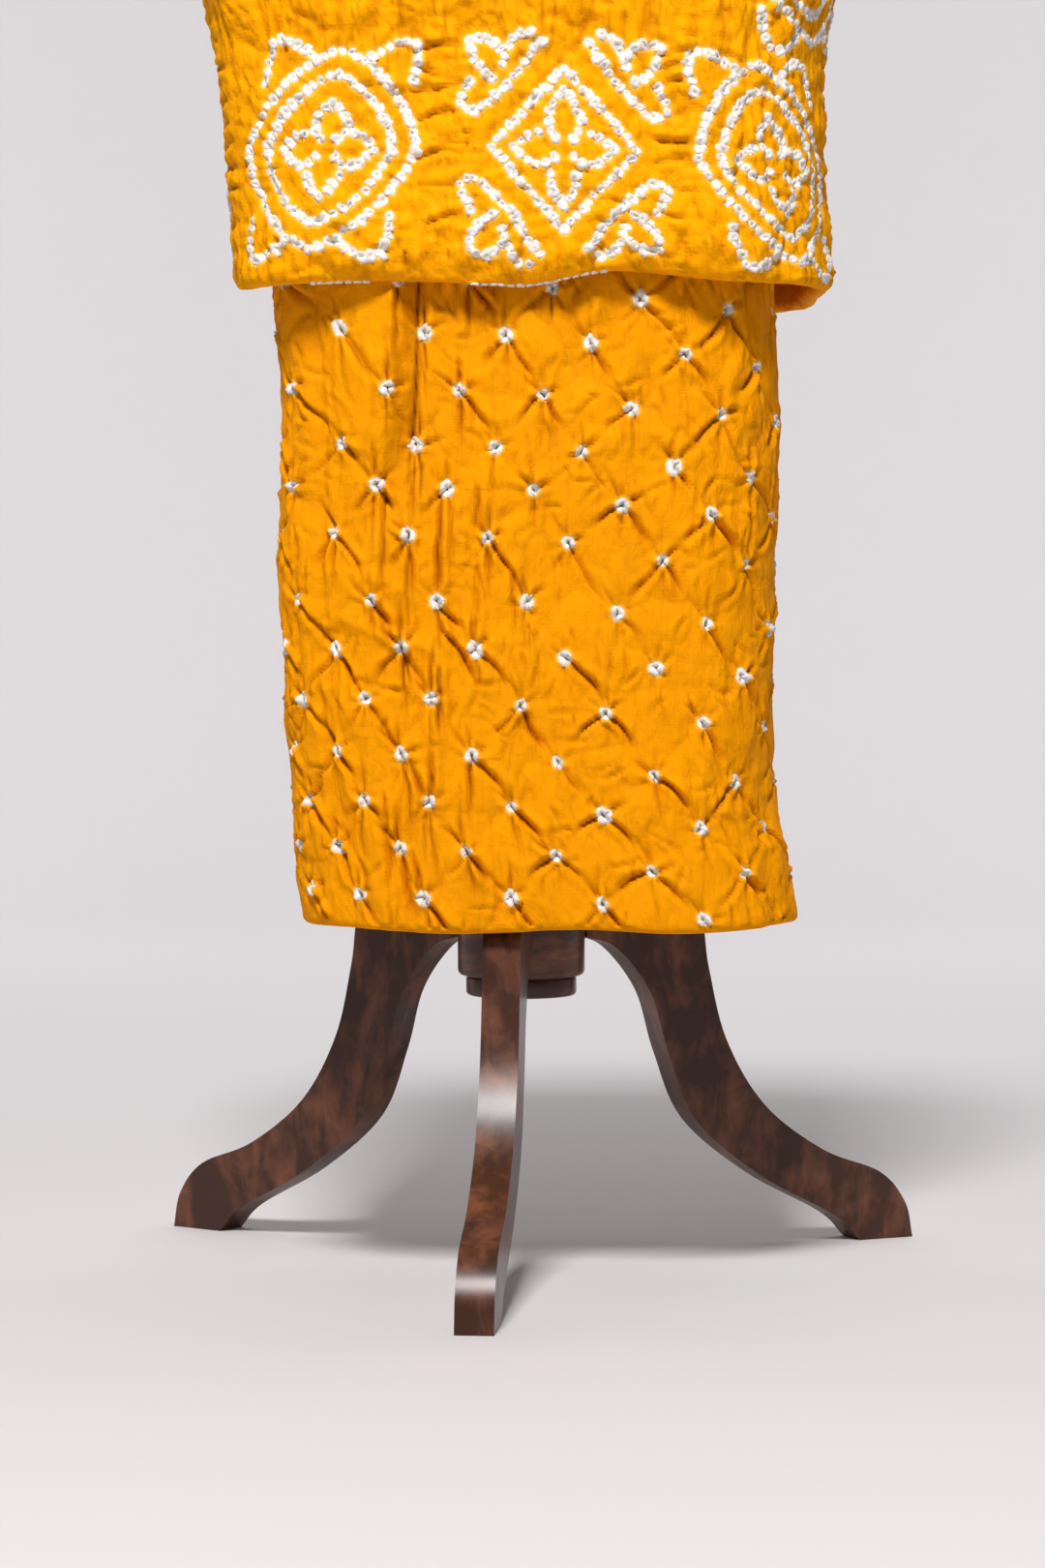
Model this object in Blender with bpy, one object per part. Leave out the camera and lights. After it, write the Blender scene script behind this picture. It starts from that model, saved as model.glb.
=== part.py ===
"""Bandhani cloth in two tiers, draped over a plain dress-form body on a turned hub and three curved legs."""

import math

import bmesh
import bpy
from mathutils import Vector

# Sizes in metres, measured from the stand's upright axis, +Z up, the cloth's front facing -Y

# Wooden tripod
LEG_ANGLES = {"leg_front": -90.0, "leg_right": 30.0, "leg_left": 150.0}
LEG_TURN = -5.53
LEG_THICKNESS = 0.0264
LEG_EDGE_ROUND = 0.0012
FOOT_HEEL = 0.2735
FOOT_TOE = 0.3186
# Points (radius from the axis, height) that the leg's two edges run through
LEG_OUTER_EDGE = (
    (0.0463, 0.2660),
    (0.1100, 0.2640),
    (0.1380, 0.2480),
    (0.1457, 0.2100),
    (0.1605, 0.1560),
    (0.1925, 0.1060),
    (0.2420, 0.0700),
    (0.2900, 0.0510),
    (0.3120, 0.0270),
    (FOOT_TOE, 0.0),
)
LEG_INNER_EDGE = (
    (FOOT_HEEL, 0.0),
    (0.2520, 0.0200),
    (0.1900, 0.0530),
    (0.1365, 0.0960),
    (0.1130, 0.1470),
    (0.0980, 0.1930),
    (0.0710, 0.2260),
    (0.0463, 0.2350),
)
LEG_EDGE_STEPS = 3

# Turned hub under the form: (height, radius) up its side
HUB_RADIUS = 0.046
LEG_SEAT_GAP = 0.0003
HUB_PROFILE = (
    (0.1940, 0.0370),
    (0.1955, 0.0395),
    (0.1975, 0.0400),
    (0.2060, 0.0400),
    (0.2075, 0.0385),
    (0.2085, 0.0440),
    (0.2120, HUB_RADIUS),
    (0.2717, HUB_RADIUS),
)
HUB_SIDES = 40

# Cloth: sheet thickness, and the hem folded up inside
CLOTH = 0.0020
HEM_SLIT = 0.0012
HEM_UP = 0.030
CLOTH_COLUMNS = 72

# Level sections of each tier, outside: height, half width, half depth, centre in X
LOWER_SECTIONS = (
    (0.250, 0.1762, 0.1530, 0.0188),
    (0.284, 0.1757, 0.1520, 0.0153),
    (0.330, 0.1722, 0.1500, 0.0095),
    (0.410, 0.1743, 0.1500, 0.0060),
    (0.500, 0.1778, 0.1510, 0.0050),
    (0.600, 0.1772, 0.1515, 0.0072),
    (0.700, 0.1798, 0.1520, 0.0023),
    (0.760, 0.1768, 0.1498, 0.0020),
    (0.800, 0.1768, 0.1498, 0.0020),
)
UPPER_SECTIONS = (
    (0.694, 0.2126, 0.1760, 0.0086),
    (0.737, 0.2112, 0.1745, 0.0065),
    (0.772, 0.2107, 0.1735, 0.0040),
    (0.848, 0.2130, 0.1740, 0.0002),
    (0.910, 0.2242, 0.1775, -0.0015),
    (0.950, 0.2270, 0.1785, -0.0010),
    (0.984, 0.2230, 0.1770, 0.0),
)
# Corner radii of the sections: front left, front right, back right, back left
LOWER_CORNERS = (0.070, 0.080, 0.120, 0.112)
UPPER_CORNERS = (0.066, 0.094, 0.125, 0.120)
# How far the corners draw in behind the plain rounded rectangle
CORNER_DRAW_IN = 0.005

# Lower tier: the lattice of tied dots, with cloth puffed up between them
DOT_COLUMNS = CLOTH_COLUMNS // 4
DOT_ROW_PITCH = 0.0353
ROW_DROP_FROM = -0.030
ROW_DROP_SLOPE = 0.10
PUFF = 0.0038
DIMPLE = 0.0010
LOWER_HEM = 0.2500
LOWER_ROWS = 26
LOWER_SHOWS_TO = LOWER_HEM + LOWER_ROWS * DOT_ROW_PITCH / 2
LOWER_SMOOTH_FROM = 0.745
LOWER_TOP = 0.800
LOWER_TOP_ROWS = 2

# Upper tier: hem, shoulder over the form's flat top, and the edge turned in on it
UPPER_HEM = 0.6940
UPPER_SHOULDER = 0.9700
UPPER_ROWS = 12
FLUTE = 0.0018
FLUTES = 18
FORM_TOP = 0.9836
TOP_EDGE_GAP = 0.0004
TOP_TURN_IN = 0.036

# Soft folds: distance round from the front centre (to the right), half width, rise, top, foot, lean
LOWER_FOLDS = (
    (-0.185, 0.016, 0.0060, 0.72, 0.24, 0.006),
    (-0.110, 0.015, 0.0040, 0.60, 0.24, 0.004),
    (-0.094, 0.013, 0.0090, 0.76, 0.55, 0.010),
    (-0.058, 0.013, 0.0050, 0.58, 0.30, 0.004),
    (-0.022, 0.014, 0.0030, 0.66, 0.45, -0.006),
    (0.205, 0.018, 0.0050, 0.36, 0.22, -0.004),
    (0.330, 0.018, 0.0050, 0.72, 0.24, 0.008),
    (0.470, 0.016, 0.0060, 0.72, 0.30, -0.006),
    (-0.500, 0.018, 0.0060, 0.72, 0.24, 0.010),
    (-0.360, 0.016, 0.0050, 0.62, 0.24, 0.006),
)
UPPER_FOLDS = (
    (-0.300, 0.022, 0.0050, 1.00, 0.66, 0.010),
    (-0.220, 0.020, 0.0040, 1.00, 0.72, 0.006),
    (-0.045, 0.018, 0.0035, 0.92, 0.66, 0.003),
    (0.122, 0.018, 0.0035, 0.94, 0.66, -0.004),
    (0.262, 0.022, 0.0050, 1.00, 0.66, -0.010),
    (0.420, 0.024, 0.0060, 1.00, 0.66, 0.008),
    (0.560, 0.022, 0.0050, 1.00, 0.66, -0.006),
    (-0.600, 0.024, 0.0060, 1.00, 0.66, 0.010),
    (-0.430, 0.022, 0.0050, 1.00, 0.66, 0.006),
)
# Height of the hem's wave: distance round from the front centre, lift
LOWER_WAVE = ((-0.60, 0.0), (-0.15, 0.003), (-0.06, -0.001), (0.02, 0.002), (0.09, -0.001), (0.20, 0.003), (0.60, 0.0))
UPPER_WAVE = (
    (-0.684, 0.002),
    (-0.520, 0.024),
    (-0.400, 0.024),
    (-0.300, 0.014),
    (-0.220, -0.002),
    (-0.100, 0.001),
    (-0.010, -0.002),
    (0.055, 0.008),
    (0.140, 0.001),
    (0.684, 0.002),
)

# Form body inside the cloth: height, half width, half depth, centre in X
FORM_SECTIONS = (
    (0.2720, 0.1480, 0.1260, 0.010),
    (0.2840, 0.1560, 0.1340, 0.009),
    (0.3400, 0.1590, 0.1370, 0.008),
    (0.5600, 0.1640, 0.1380, 0.006),
    (0.7300, 0.1660, 0.1385, 0.003),
    (0.7620, 0.1740, 0.1470, 0.002),
    (0.8030, 0.1740, 0.1470, 0.002),
    (0.8400, 0.1990, 0.1600, 0.001),
    (0.9050, 0.2130, 0.1660, 0.0),
    (0.9500, 0.2160, 0.1675, 0.0),
    (0.9740, 0.2100, 0.1640, 0.0),
    (FORM_TOP, 0.2010, 0.1550, 0.0),
)
FORM_CORNERS = (0.068, 0.078, 0.118, 0.110)
FORM_COLUMNS = 40

# Colours (linear), roughness
CLOTH_UPPER_LOOK = ((0.93, 0.42, 0.012), 0.75)
CLOTH_LOWER_LOOK = ((0.87, 0.34, 0.010), 0.78)
FORM_LOOK = ((0.62, 0.56, 0.47), 0.85)
WOOD_LOOK = ((0.045, 0.018, 0.010), 0.28)


def clear_scene():
    for old in list(bpy.data.objects):
        bpy.data.objects.remove(old, do_unlink=True)


def material(name, look):
    colour, roughness = look
    made = bpy.data.materials.new(name)
    made.use_nodes = True
    shader = made.node_tree.nodes["Principled BSDF"]
    shader.inputs["Base Color"].default_value = (*colour, 1.0)
    shader.inputs["Roughness"].default_value = roughness
    shader.inputs["Metallic"].default_value = 0.0
    return made


def mesh_object(name, points, faces, look):
    """One closed body, its faces turned outwards."""
    mesh = bpy.data.meshes.new(name)
    mesh.from_pydata(points, [], faces)
    shape = bmesh.new()
    shape.from_mesh(mesh)
    bmesh.ops.recalc_face_normals(shape, faces=shape.faces)
    shape.to_mesh(mesh)
    shape.free()
    mesh.materials.append(look)
    mesh.shade_smooth()
    mesh.set_sharp_from_angle(angle=math.radians(35))
    made = bpy.data.objects.new(name, mesh)
    bpy.context.collection.objects.link(made)
    return made


def ring_faces(rows, columns, closed, split=False):
    """Quads between rings of points: closed joins the last ring to the first, else the ends are capped.
    Split quads are two triangles, parted along the diagonals that the creases between dots follow."""
    faces = []
    for row in range(rows if closed else rows - 1):
        low = row * columns
        high = (row + 1) % rows * columns
        for column in range(columns):
            after = (column + 1) % columns
            corners = (low + column, low + after, high + after, high + column)
            if not split:
                faces.append(corners)
                continue
            turn = (row + column) % 2
            corners = corners[turn:] + corners[:turn]
            faces.append(corners[:3])
            faces.append((corners[0], corners[2], corners[3]))
    if not closed:
        faces.append(tuple(range(columns)))
        faces.append(tuple(range((rows - 1) * columns, rows * columns)))
    return faces


def smooth_line(points, steps):
    """A Catmull-Rom curve through the points, its end points kept."""
    knots = [Vector(point) for point in points]
    knots = [2 * knots[0] - knots[1]] + knots + [2 * knots[-1] - knots[-2]]
    line = []
    for before, start, end, after in zip(knots, knots[1:], knots[2:], knots[3:]):
        for step in range(steps):
            t = step / steps
            line.append(0.5 * (2 * start + (end - before) * t
                               + (2 * before - 5 * start + 4 * end - after) * t ** 2
                               + (3 * start - before - 3 * end + after) * t ** 3))
    line.append(knots[-2])
    return line


def table_at(table, key):
    """The row of a table at this key, eased between its two neighbours."""
    if key <= table[0][0]:
        return table[0][1:]
    for low, high in zip(table, table[1:]):
        if key <= high[0]:
            t = (key - low[0]) / (high[0] - low[0])
            t = t * t * (3 - 2 * t)
            return tuple(a + (b - a) * t for a, b in zip(low[1:], high[1:]))
    return table[-1][1:]


def walk_round(share, section, corners):
    """A point on a rounded-rectangle section, this share of the way round to the right from its front
    centre, with the outward direction there and the section's whole length round."""
    half_width, half_depth, centre = section
    front_left, front_right, back_right, back_left = corners
    quarter = math.pi / 2
    # Each piece: length, start point, heading, radius (0 for a straight)
    pieces = (
        (half_width - front_right, (0.0, -half_depth), 0.0, 0.0),
        (quarter * front_right, (half_width - front_right, -half_depth), 0.0, front_right),
        (2 * half_depth - front_right - back_right, (half_width, front_right - half_depth), quarter, 0.0),
        (quarter * back_right, (half_width, half_depth - back_right), quarter, back_right),
        (2 * half_width - back_right - back_left, (half_width - back_right, half_depth), 2 * quarter, 0.0),
        (quarter * back_left, (back_left - half_width, half_depth), 2 * quarter, back_left),
        (2 * half_depth - back_left - front_left, (-half_width, half_depth - back_left), 3 * quarter, 0.0),
        (quarter * front_left, (-half_width, front_left - half_depth), 3 * quarter, front_left),
        (half_width - front_left, (front_left - half_width, -half_depth), 0.0, 0.0),
    )
    length = sum(piece[0] for piece in pieces)
    rest = (share % 1.0) * length
    for run, start, heading, radius in pieces:
        if rest <= run or run is pieces[-1][0]:
            break
        rest -= run
    if radius:
        turned = heading + rest / radius
        x = start[0] + radius * (math.sin(turned) - math.sin(heading))
        y = start[1] - radius * (math.cos(turned) - math.cos(heading))
        heading = turned
    else:
        x = start[0] + rest * math.cos(heading)
        y = start[1] + rest * math.sin(heading)
    return x + centre, y, math.sin(heading), -math.cos(heading), length


def signed_distance(share, length):
    """Distance round from the front centre, to the right, negative to the left."""
    return ((share + 0.5) % 1.0 - 0.5) * length


def folds_at(folds, distance, height, length):
    """Rise of the soft folds at a place on a tier."""
    rise = 0.0
    for place, half_width, high, top, foot, lean in folds:
        along = (height - foot) / (top - foot)
        if not 0.0 < along < 1.0:
            continue
        off = distance - place - lean * (along - 0.5) * 2
        off = (off + length / 2) % length - length / 2
        rise += high * math.exp(-((off / half_width) ** 2)) * min(1.0, 4 * along * (1 - along) + 0.2)
    return rise


def corner_draw_in(share):
    """0 at the middle of the front, back and sides, the full draw at the corners."""
    return CORNER_DRAW_IN * (math.cos(4 * math.pi * share) - 1) / 2


def fade(height, full, gone):
    """1 at the height where a relief is full, 0 where it is gone."""
    return min(1.0, max(0.0, (gone - height) / (gone - full)))


def lower_relief(share, height, length):
    """Puffs of cloth between the tied dots, on the tier's soft folds."""
    column = share * DOT_COLUMNS
    row = (LOWER_SHOWS_TO - height) / DOT_ROW_PITCH
    down_right = column + row / 2
    down_left = column - row / 2
    puff = math.sqrt(abs(math.sin(math.pi * down_right) * math.sin(math.pi * down_left)))
    dot = (math.cos(math.pi * down_right) * math.cos(math.pi * down_left)) ** 8
    relief = PUFF * (puff - 0.5) - DIMPLE * dot + corner_draw_in(share)
    relief += folds_at(LOWER_FOLDS, signed_distance(share, length), height, length)
    return relief * fade(height, LOWER_SHOWS_TO, LOWER_SMOOTH_FROM)


def upper_relief(share, height, length):
    """The tier's soft folds with light flutes between them, smoothed out towards the shoulder."""
    flutes = FLUTE * math.cos(2 * math.pi * FLUTES * share) * math.sin(11 * height + 9 * share)
    relief = flutes + corner_draw_in(share)
    relief += folds_at(UPPER_FOLDS, signed_distance(share, length), height, length)
    return relief * fade(height, UPPER_SHOULDER - 0.03, FORM_TOP)


def row_drop(x, height):
    """How far the rows of dots slope down to the right, evened out at the tier's two edges."""
    inside = fade(height, LOWER_SHOWS_TO - 0.03, LOWER_SHOWS_TO) * (1 - fade(height, LOWER_HEM + 0.02, LOWER_HEM + 0.06))
    return ROW_DROP_SLOPE * max(0.0, x - ROW_DROP_FROM) * inside


def hem_path(hem):
    """Heights and insets round the folded hem: from the outside down, under, up inside and back to the slit."""
    fold = 2 * CLOTH + HEM_SLIT
    return [
        (hem + 0.0035, 0.0),
        (hem, fold / 2),
        (hem + 0.0035, fold),
        (hem + HEM_UP, fold),
        (hem + HEM_UP, CLOTH + HEM_SLIT),
        (hem + 0.0040, fold / 2),
    ]


def wall_heights(low, high, rows):
    return [low + (high - low) * row / rows for row in range(1, rows + 1)]


def tier(name, path, sections, corners, relief, lift, look, split=False):
    """A tube of sheet: each column follows the path of (height, inset) round the sheet's two faces."""
    points = []
    for height, inset in path:
        for column in range(CLOTH_COLUMNS):
            share = column / CLOTH_COLUMNS
            x, y, out_x, out_y, length = walk_round(share, table_at(sections, height), corners)
            off = relief(share, height, length) - inset
            up = lift(x, signed_distance(share, length), height)
            points.append((x + off * out_x, y + off * out_y, height + up))
    return mesh_object(name, points, ring_faces(len(path), CLOTH_COLUMNS, True, split), look)


def lower_lift(x, distance, height):
    return table_at(LOWER_WAVE, distance)[0] * fade(height, LOWER_HEM, LOWER_HEM + 0.15) - row_drop(x, height)


def upper_lift(x, distance, height):
    return table_at(UPPER_WAVE, distance)[0] * fade(height, UPPER_HEM, UPPER_HEM + 0.07)


def cloth_lower(look):
    """The dotted tier: its hem folded up inside, its top edge close on the form under the other tier."""
    shown = wall_heights(LOWER_HEM, LOWER_SHOWS_TO, LOWER_ROWS)
    hidden = wall_heights(LOWER_SHOWS_TO, LOWER_TOP, LOWER_TOP_ROWS)
    path = [(height, 0.0) for height in reversed(shown + hidden)]
    path += hem_path(LOWER_HEM)
    path += [(LOWER_HEM + HEM_UP, CLOTH)]
    path += [(height, CLOTH) for height in shown[3::2] + hidden]
    return tier("cloth_lower", path, LOWER_SECTIONS, LOWER_CORNERS, lower_relief, lower_lift, look, split=True)


def cloth_upper(look):
    """The bordered tier: its hem folded up inside, its top edge turned in over the form's flat top."""
    heights = wall_heights(UPPER_HEM, UPPER_SHOULDER, UPPER_ROWS)
    under = FORM_TOP + TOP_EDGE_GAP
    over = under + CLOTH
    path = [
        (under, TOP_TURN_IN),
        (over, TOP_TURN_IN),
        (over, 0.5 * TOP_TURN_IN),
        (over - 0.0035, 0.0045),
    ]
    path += [(height, 0.0) for height in reversed(heights)]
    path += hem_path(UPPER_HEM)
    path += [(UPPER_HEM + HEM_UP, CLOTH)]
    path += [(height, CLOTH) for height in heights[3::2]]
    path += [(under - 0.0035, CLOTH + 0.0045), (under, 0.5 * TOP_TURN_IN + CLOTH)]
    return tier("cloth_upper", path, UPPER_SECTIONS, UPPER_CORNERS, upper_relief, upper_lift, look)


def form_body(look):
    """The plain body that the cloth hangs on."""
    points = []
    for height, half_width, half_depth, centre in FORM_SECTIONS:
        for column in range(FORM_COLUMNS):
            share = column / FORM_COLUMNS
            x, y, _, _, _ = walk_round(share, (half_width, half_depth, centre), FORM_CORNERS)
            points.append((x, y, height))
    return mesh_object("form_body", points, ring_faces(len(FORM_SECTIONS), FORM_COLUMNS, closed=False), look)


def hub(look):
    """The turned block that the legs join and the form stands on."""
    points = []
    for height, radius in HUB_PROFILE:
        for side in range(HUB_SIDES):
            angle = 2 * math.pi * side / HUB_SIDES
            points.append((radius * math.cos(angle), radius * math.sin(angle), height))
    return mesh_object("hub", points, ring_faces(len(HUB_PROFILE), HUB_SIDES, closed=False), look)


def leg(name, angle, look):
    """A leg sawn from board: an S-shaped outline, its top end hollowed to seat on the hub."""
    outline = smooth_line(LEG_OUTER_EDGE, LEG_EDGE_STEPS) + smooth_line(LEG_INNER_EDGE, LEG_EDGE_STEPS)
    seat = HUB_RADIUS + LEG_SEAT_GAP
    half = LEG_THICKNESS / 2
    shape = bmesh.new()
    slices = []
    for side in (-half, -half / 2, 0.0, half / 2, half):
        ring = []
        for radius, height in outline:
            reach = math.sqrt(seat ** 2 - side ** 2) if radius <= seat + 1e-6 else radius
            ring.append(shape.verts.new((reach, side, height)))
        slices.append(ring)
    for near, far in zip(slices, slices[1:]):
        for i in range(len(outline)):
            j = (i + 1) % len(outline)
            shape.faces.new((near[i], near[j], far[j], far[i]))
    shape.faces.new(slices[0])
    shape.faces.new(slices[-1])
    bmesh.ops.recalc_face_normals(shape, faces=shape.faces)
    rims = []
    for ring in (slices[0], slices[-1]):
        rims += [edge for edge in shape.edges if edge.verts[0] in ring and edge.verts[1] in ring]
    bmesh.ops.bevel(shape, geom=rims, offset=LEG_EDGE_ROUND, segments=1, affect="EDGES")
    mesh = bpy.data.meshes.new(name)
    shape.to_mesh(mesh)
    shape.free()
    mesh.materials.append(look)
    mesh.shade_smooth()
    mesh.set_sharp_from_angle(angle=math.radians(35))
    made = bpy.data.objects.new(name, mesh)
    made.rotation_euler.z = math.radians(angle + LEG_TURN)
    bpy.context.collection.objects.link(made)
    return made


def stand_on_origin(pieces):
    """Move all the pieces so that the origin is at the middle of the whole thing's base."""
    bpy.context.view_layer.update()
    corners = [piece.matrix_world @ vertex.co for piece in pieces for vertex in piece.data.vertices]
    low = [min(corner[axis] for corner in corners) for axis in range(3)]
    high = [max(corner[axis] for corner in corners) for axis in range(3)]
    shift = Vector((-(low[0] + high[0]) / 2, -(low[1] + high[1]) / 2, -low[2]))
    for piece in pieces:
        piece.location = piece.location + shift


def main():
    clear_scene()
    wood = material("dark_wood", WOOD_LOOK)
    pieces = [
        cloth_lower(material("cloth_lower", CLOTH_LOWER_LOOK)),
        cloth_upper(material("cloth_upper", CLOTH_UPPER_LOOK)),
        form_body(material("form_cover", FORM_LOOK)),
        hub(material("hub_wood", WOOD_LOOK)),
    ]
    for name, angle in LEG_ANGLES.items():
        pieces.append(leg(name, angle, wood))
    stand_on_origin(pieces)


main()
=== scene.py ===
"""Bandhani cloth in two tiers on a dress-form stand: every surface and finish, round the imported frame."""

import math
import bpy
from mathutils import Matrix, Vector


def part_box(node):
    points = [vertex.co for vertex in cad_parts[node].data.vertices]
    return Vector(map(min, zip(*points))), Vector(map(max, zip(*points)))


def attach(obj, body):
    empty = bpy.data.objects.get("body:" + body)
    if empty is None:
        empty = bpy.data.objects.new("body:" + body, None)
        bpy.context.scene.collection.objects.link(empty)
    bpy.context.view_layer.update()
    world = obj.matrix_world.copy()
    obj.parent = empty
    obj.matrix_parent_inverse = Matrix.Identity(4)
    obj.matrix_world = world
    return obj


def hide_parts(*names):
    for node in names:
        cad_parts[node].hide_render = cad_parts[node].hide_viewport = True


bl_info = {
    "name": "Bandhani cloth on a stand",
    "version": (1, 0, 0),
    "blender": (4, 5, 0),
    "location": "3D View > Sidebar > Bandhani",
    "description": "Two tiers of tied and dyed cloth on a dress-form body, a turned hub and three legs",
    "category": "Object",
}

import bmesh
import bpy
import numpy as np
from bpy.props import FloatProperty, IntProperty, PointerProperty, StringProperty
from bpy.types import Operator, Panel, PropertyGroup
from mathutils import Matrix, Vector

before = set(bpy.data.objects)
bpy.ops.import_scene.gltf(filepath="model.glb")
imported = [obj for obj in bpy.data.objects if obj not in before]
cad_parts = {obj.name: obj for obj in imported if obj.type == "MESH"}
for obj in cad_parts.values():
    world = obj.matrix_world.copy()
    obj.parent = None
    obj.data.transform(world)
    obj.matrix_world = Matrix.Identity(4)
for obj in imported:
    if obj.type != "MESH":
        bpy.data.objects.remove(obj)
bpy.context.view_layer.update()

# The stand's upright axis, from the frame's hub
HUB_LOW, HUB_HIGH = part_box("hub")
AXIS = Vector(((HUB_LOW[0] + HUB_HIGH[0]) / 2, (HUB_LOW[1] + HUB_HIGH[1]) / 2, 0.0))

MM = 0.001
# Depth at which a crease closes so far that hardly any light reaches its bottom; from this depth on, the
# shade painted along it is at full strength
FULL_PINCH = 0.0042
# How far a crease strays to either side of its line, and its lips' height as a share of its depth
WANDER = 0.0006
LIP = 0.45
TAU = 2 * math.pi

# Level sections of each tier as on the frame: height, half width, half depth, centre in X
LOWER_SECTIONS = (
    (0.250, 0.1762, 0.1530, 0.0188),
    (0.284, 0.1757, 0.1520, 0.0153),
    (0.330, 0.1722, 0.1500, 0.0095),
    (0.410, 0.1743, 0.1500, 0.0060),
    (0.500, 0.1778, 0.1510, 0.0050),
    (0.600, 0.1772, 0.1515, 0.0072),
    (0.700, 0.1798, 0.1520, 0.0023),
    (0.760, 0.1768, 0.1498, 0.0020),
    (0.800, 0.1768, 0.1498, 0.0020),
)
UPPER_SECTIONS = (
    (0.694, 0.2126, 0.1760, 0.0086),
    (0.737, 0.2112, 0.1745, 0.0065),
    (0.772, 0.2107, 0.1735, 0.0040),
    (0.848, 0.2130, 0.1740, 0.0002),
    (0.910, 0.2242, 0.1775, -0.0015),
    (0.950, 0.2270, 0.1785, -0.0010),
    (0.984, 0.2230, 0.1770, 0.0),
)
FORM_SECTIONS = (
    (0.2720, 0.1480, 0.1260, 0.010),
    (0.2840, 0.1560, 0.1340, 0.009),
    (0.3400, 0.1590, 0.1370, 0.008),
    (0.5600, 0.1640, 0.1380, 0.006),
    (0.7300, 0.1660, 0.1385, 0.003),
    (0.7620, 0.1740, 0.1470, 0.002),
    (0.8030, 0.1740, 0.1470, 0.002),
    (0.8400, 0.1990, 0.1600, 0.001),
    (0.9050, 0.2130, 0.1660, 0.0),
    (0.9500, 0.2160, 0.1675, 0.0),
    (0.9740, 0.2100, 0.1640, 0.0),
    (0.9836, 0.2010, 0.1550, 0.0),
)
# Corner radii: front left, front right, back right, back left
LOWER_CORNERS = (0.070, 0.080, 0.120, 0.112)
UPPER_CORNERS = (0.066, 0.094, 0.125, 0.120)
FORM_CORNERS = (0.068, 0.078, 0.118, 0.110)
CORNER_DRAW_IN = 0.005

# Lower tier, laid out flat: distance round from the front centre (to the right), and height
LOWER_HEM = 0.2500
LOWER_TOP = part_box("cloth_lower")[1][2]
LOWER_SHOWS_TO = 0.715
# Columns of dots: how far right of the axis each lies at the foot and at the top, its corners laid flat
DOT_COLUMNS = (
    (0.0, -0.1745, -0.1887),
    (0.5, -0.1579, -0.1669),
    (1.0, -0.1339, -0.1221),
    (1.5, -0.1129, -0.0886),
    (2.0, -0.0866, -0.0667),
    (2.5, -0.0680, -0.0408),
    (3.0, -0.0383, -0.0102),
    (3.5, -0.0069, 0.0177),
    (4.0, 0.0241, 0.0462),
    (4.5, 0.0562, 0.0788),
    (5.0, 0.0873, 0.1100),
    (5.5, 0.1232, 0.1407),
    (6.0, 0.1546, 0.1746),
)
COLUMNS_ROUND = 18
COLUMNS_FOOT = 0.280
COLUMNS_TOP = 0.664
COLUMNS_EASE = 1.6
FIRST_ROW = 0.6990
ROW_PITCH = 0.0355
ROWS = 13
# How unevenly the rows are spaced: lift of each from the top, in millimetres
ROW_LIFTS = (0.0, 0.0, -4.3, -7.2, -0.3, 2.1, -6.3, -3.7, -4.6, -5.3, -4.2, 0.0, 3.0, 0.0)
# How far the rows have dropped, by distance round
ROW_DROP = (
    (-0.17, 0.0),
    (-0.03, 0.001),
    (0.03, 0.0065),
    (0.094, 0.016),
    (0.172, 0.0215),
    (0.50, 0.012),
    (0.80, 0.0),
)

# Pleats: distance round and height of the ridge at its top and foot, slanting run, rise
LOWER_PLEATS = (
    (-0.086, 0.735, -0.104, 0.548, 0.0185, 0.0125),
    (-0.052, 0.735, -0.040, 0.650, 0.0080, 0.0032),
    (-0.160, 0.735, -0.150, 0.250, 0.0130, 0.0040),
    (0.345, 0.735, 0.330, 0.260, 0.0180, 0.0050),
    (0.520, 0.735, 0.545, 0.330, 0.0140, 0.0045),
    (-0.360, 0.735, -0.345, 0.300, 0.0160, 0.0050),
    (-0.470, 0.735, -0.485, 0.255, 0.0140, 0.0045),
)
# Long soft folds: distance round, half width, rise, top, foot, lean
LOWER_FOLDS = (
    (-0.185, 0.016, 0.0045, 0.72, 0.24, 0.006),
    (-0.112, 0.013, 0.0030, 0.56, 0.24, 0.004),
    (-0.066, 0.010, 0.0032, 0.50, 0.28, 0.004),
    (-0.022, 0.012, 0.0025, 0.66, 0.45, -0.006),
    (0.205, 0.018, 0.0050, 0.36, 0.22, -0.004),
    (0.330, 0.018, 0.0035, 0.72, 0.24, 0.008),
    (0.470, 0.016, 0.0050, 0.72, 0.30, -0.006),
    (-0.500, 0.018, 0.0050, 0.72, 0.24, 0.010),
    (-0.360, 0.016, 0.0030, 0.62, 0.24, 0.006),
)
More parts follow.
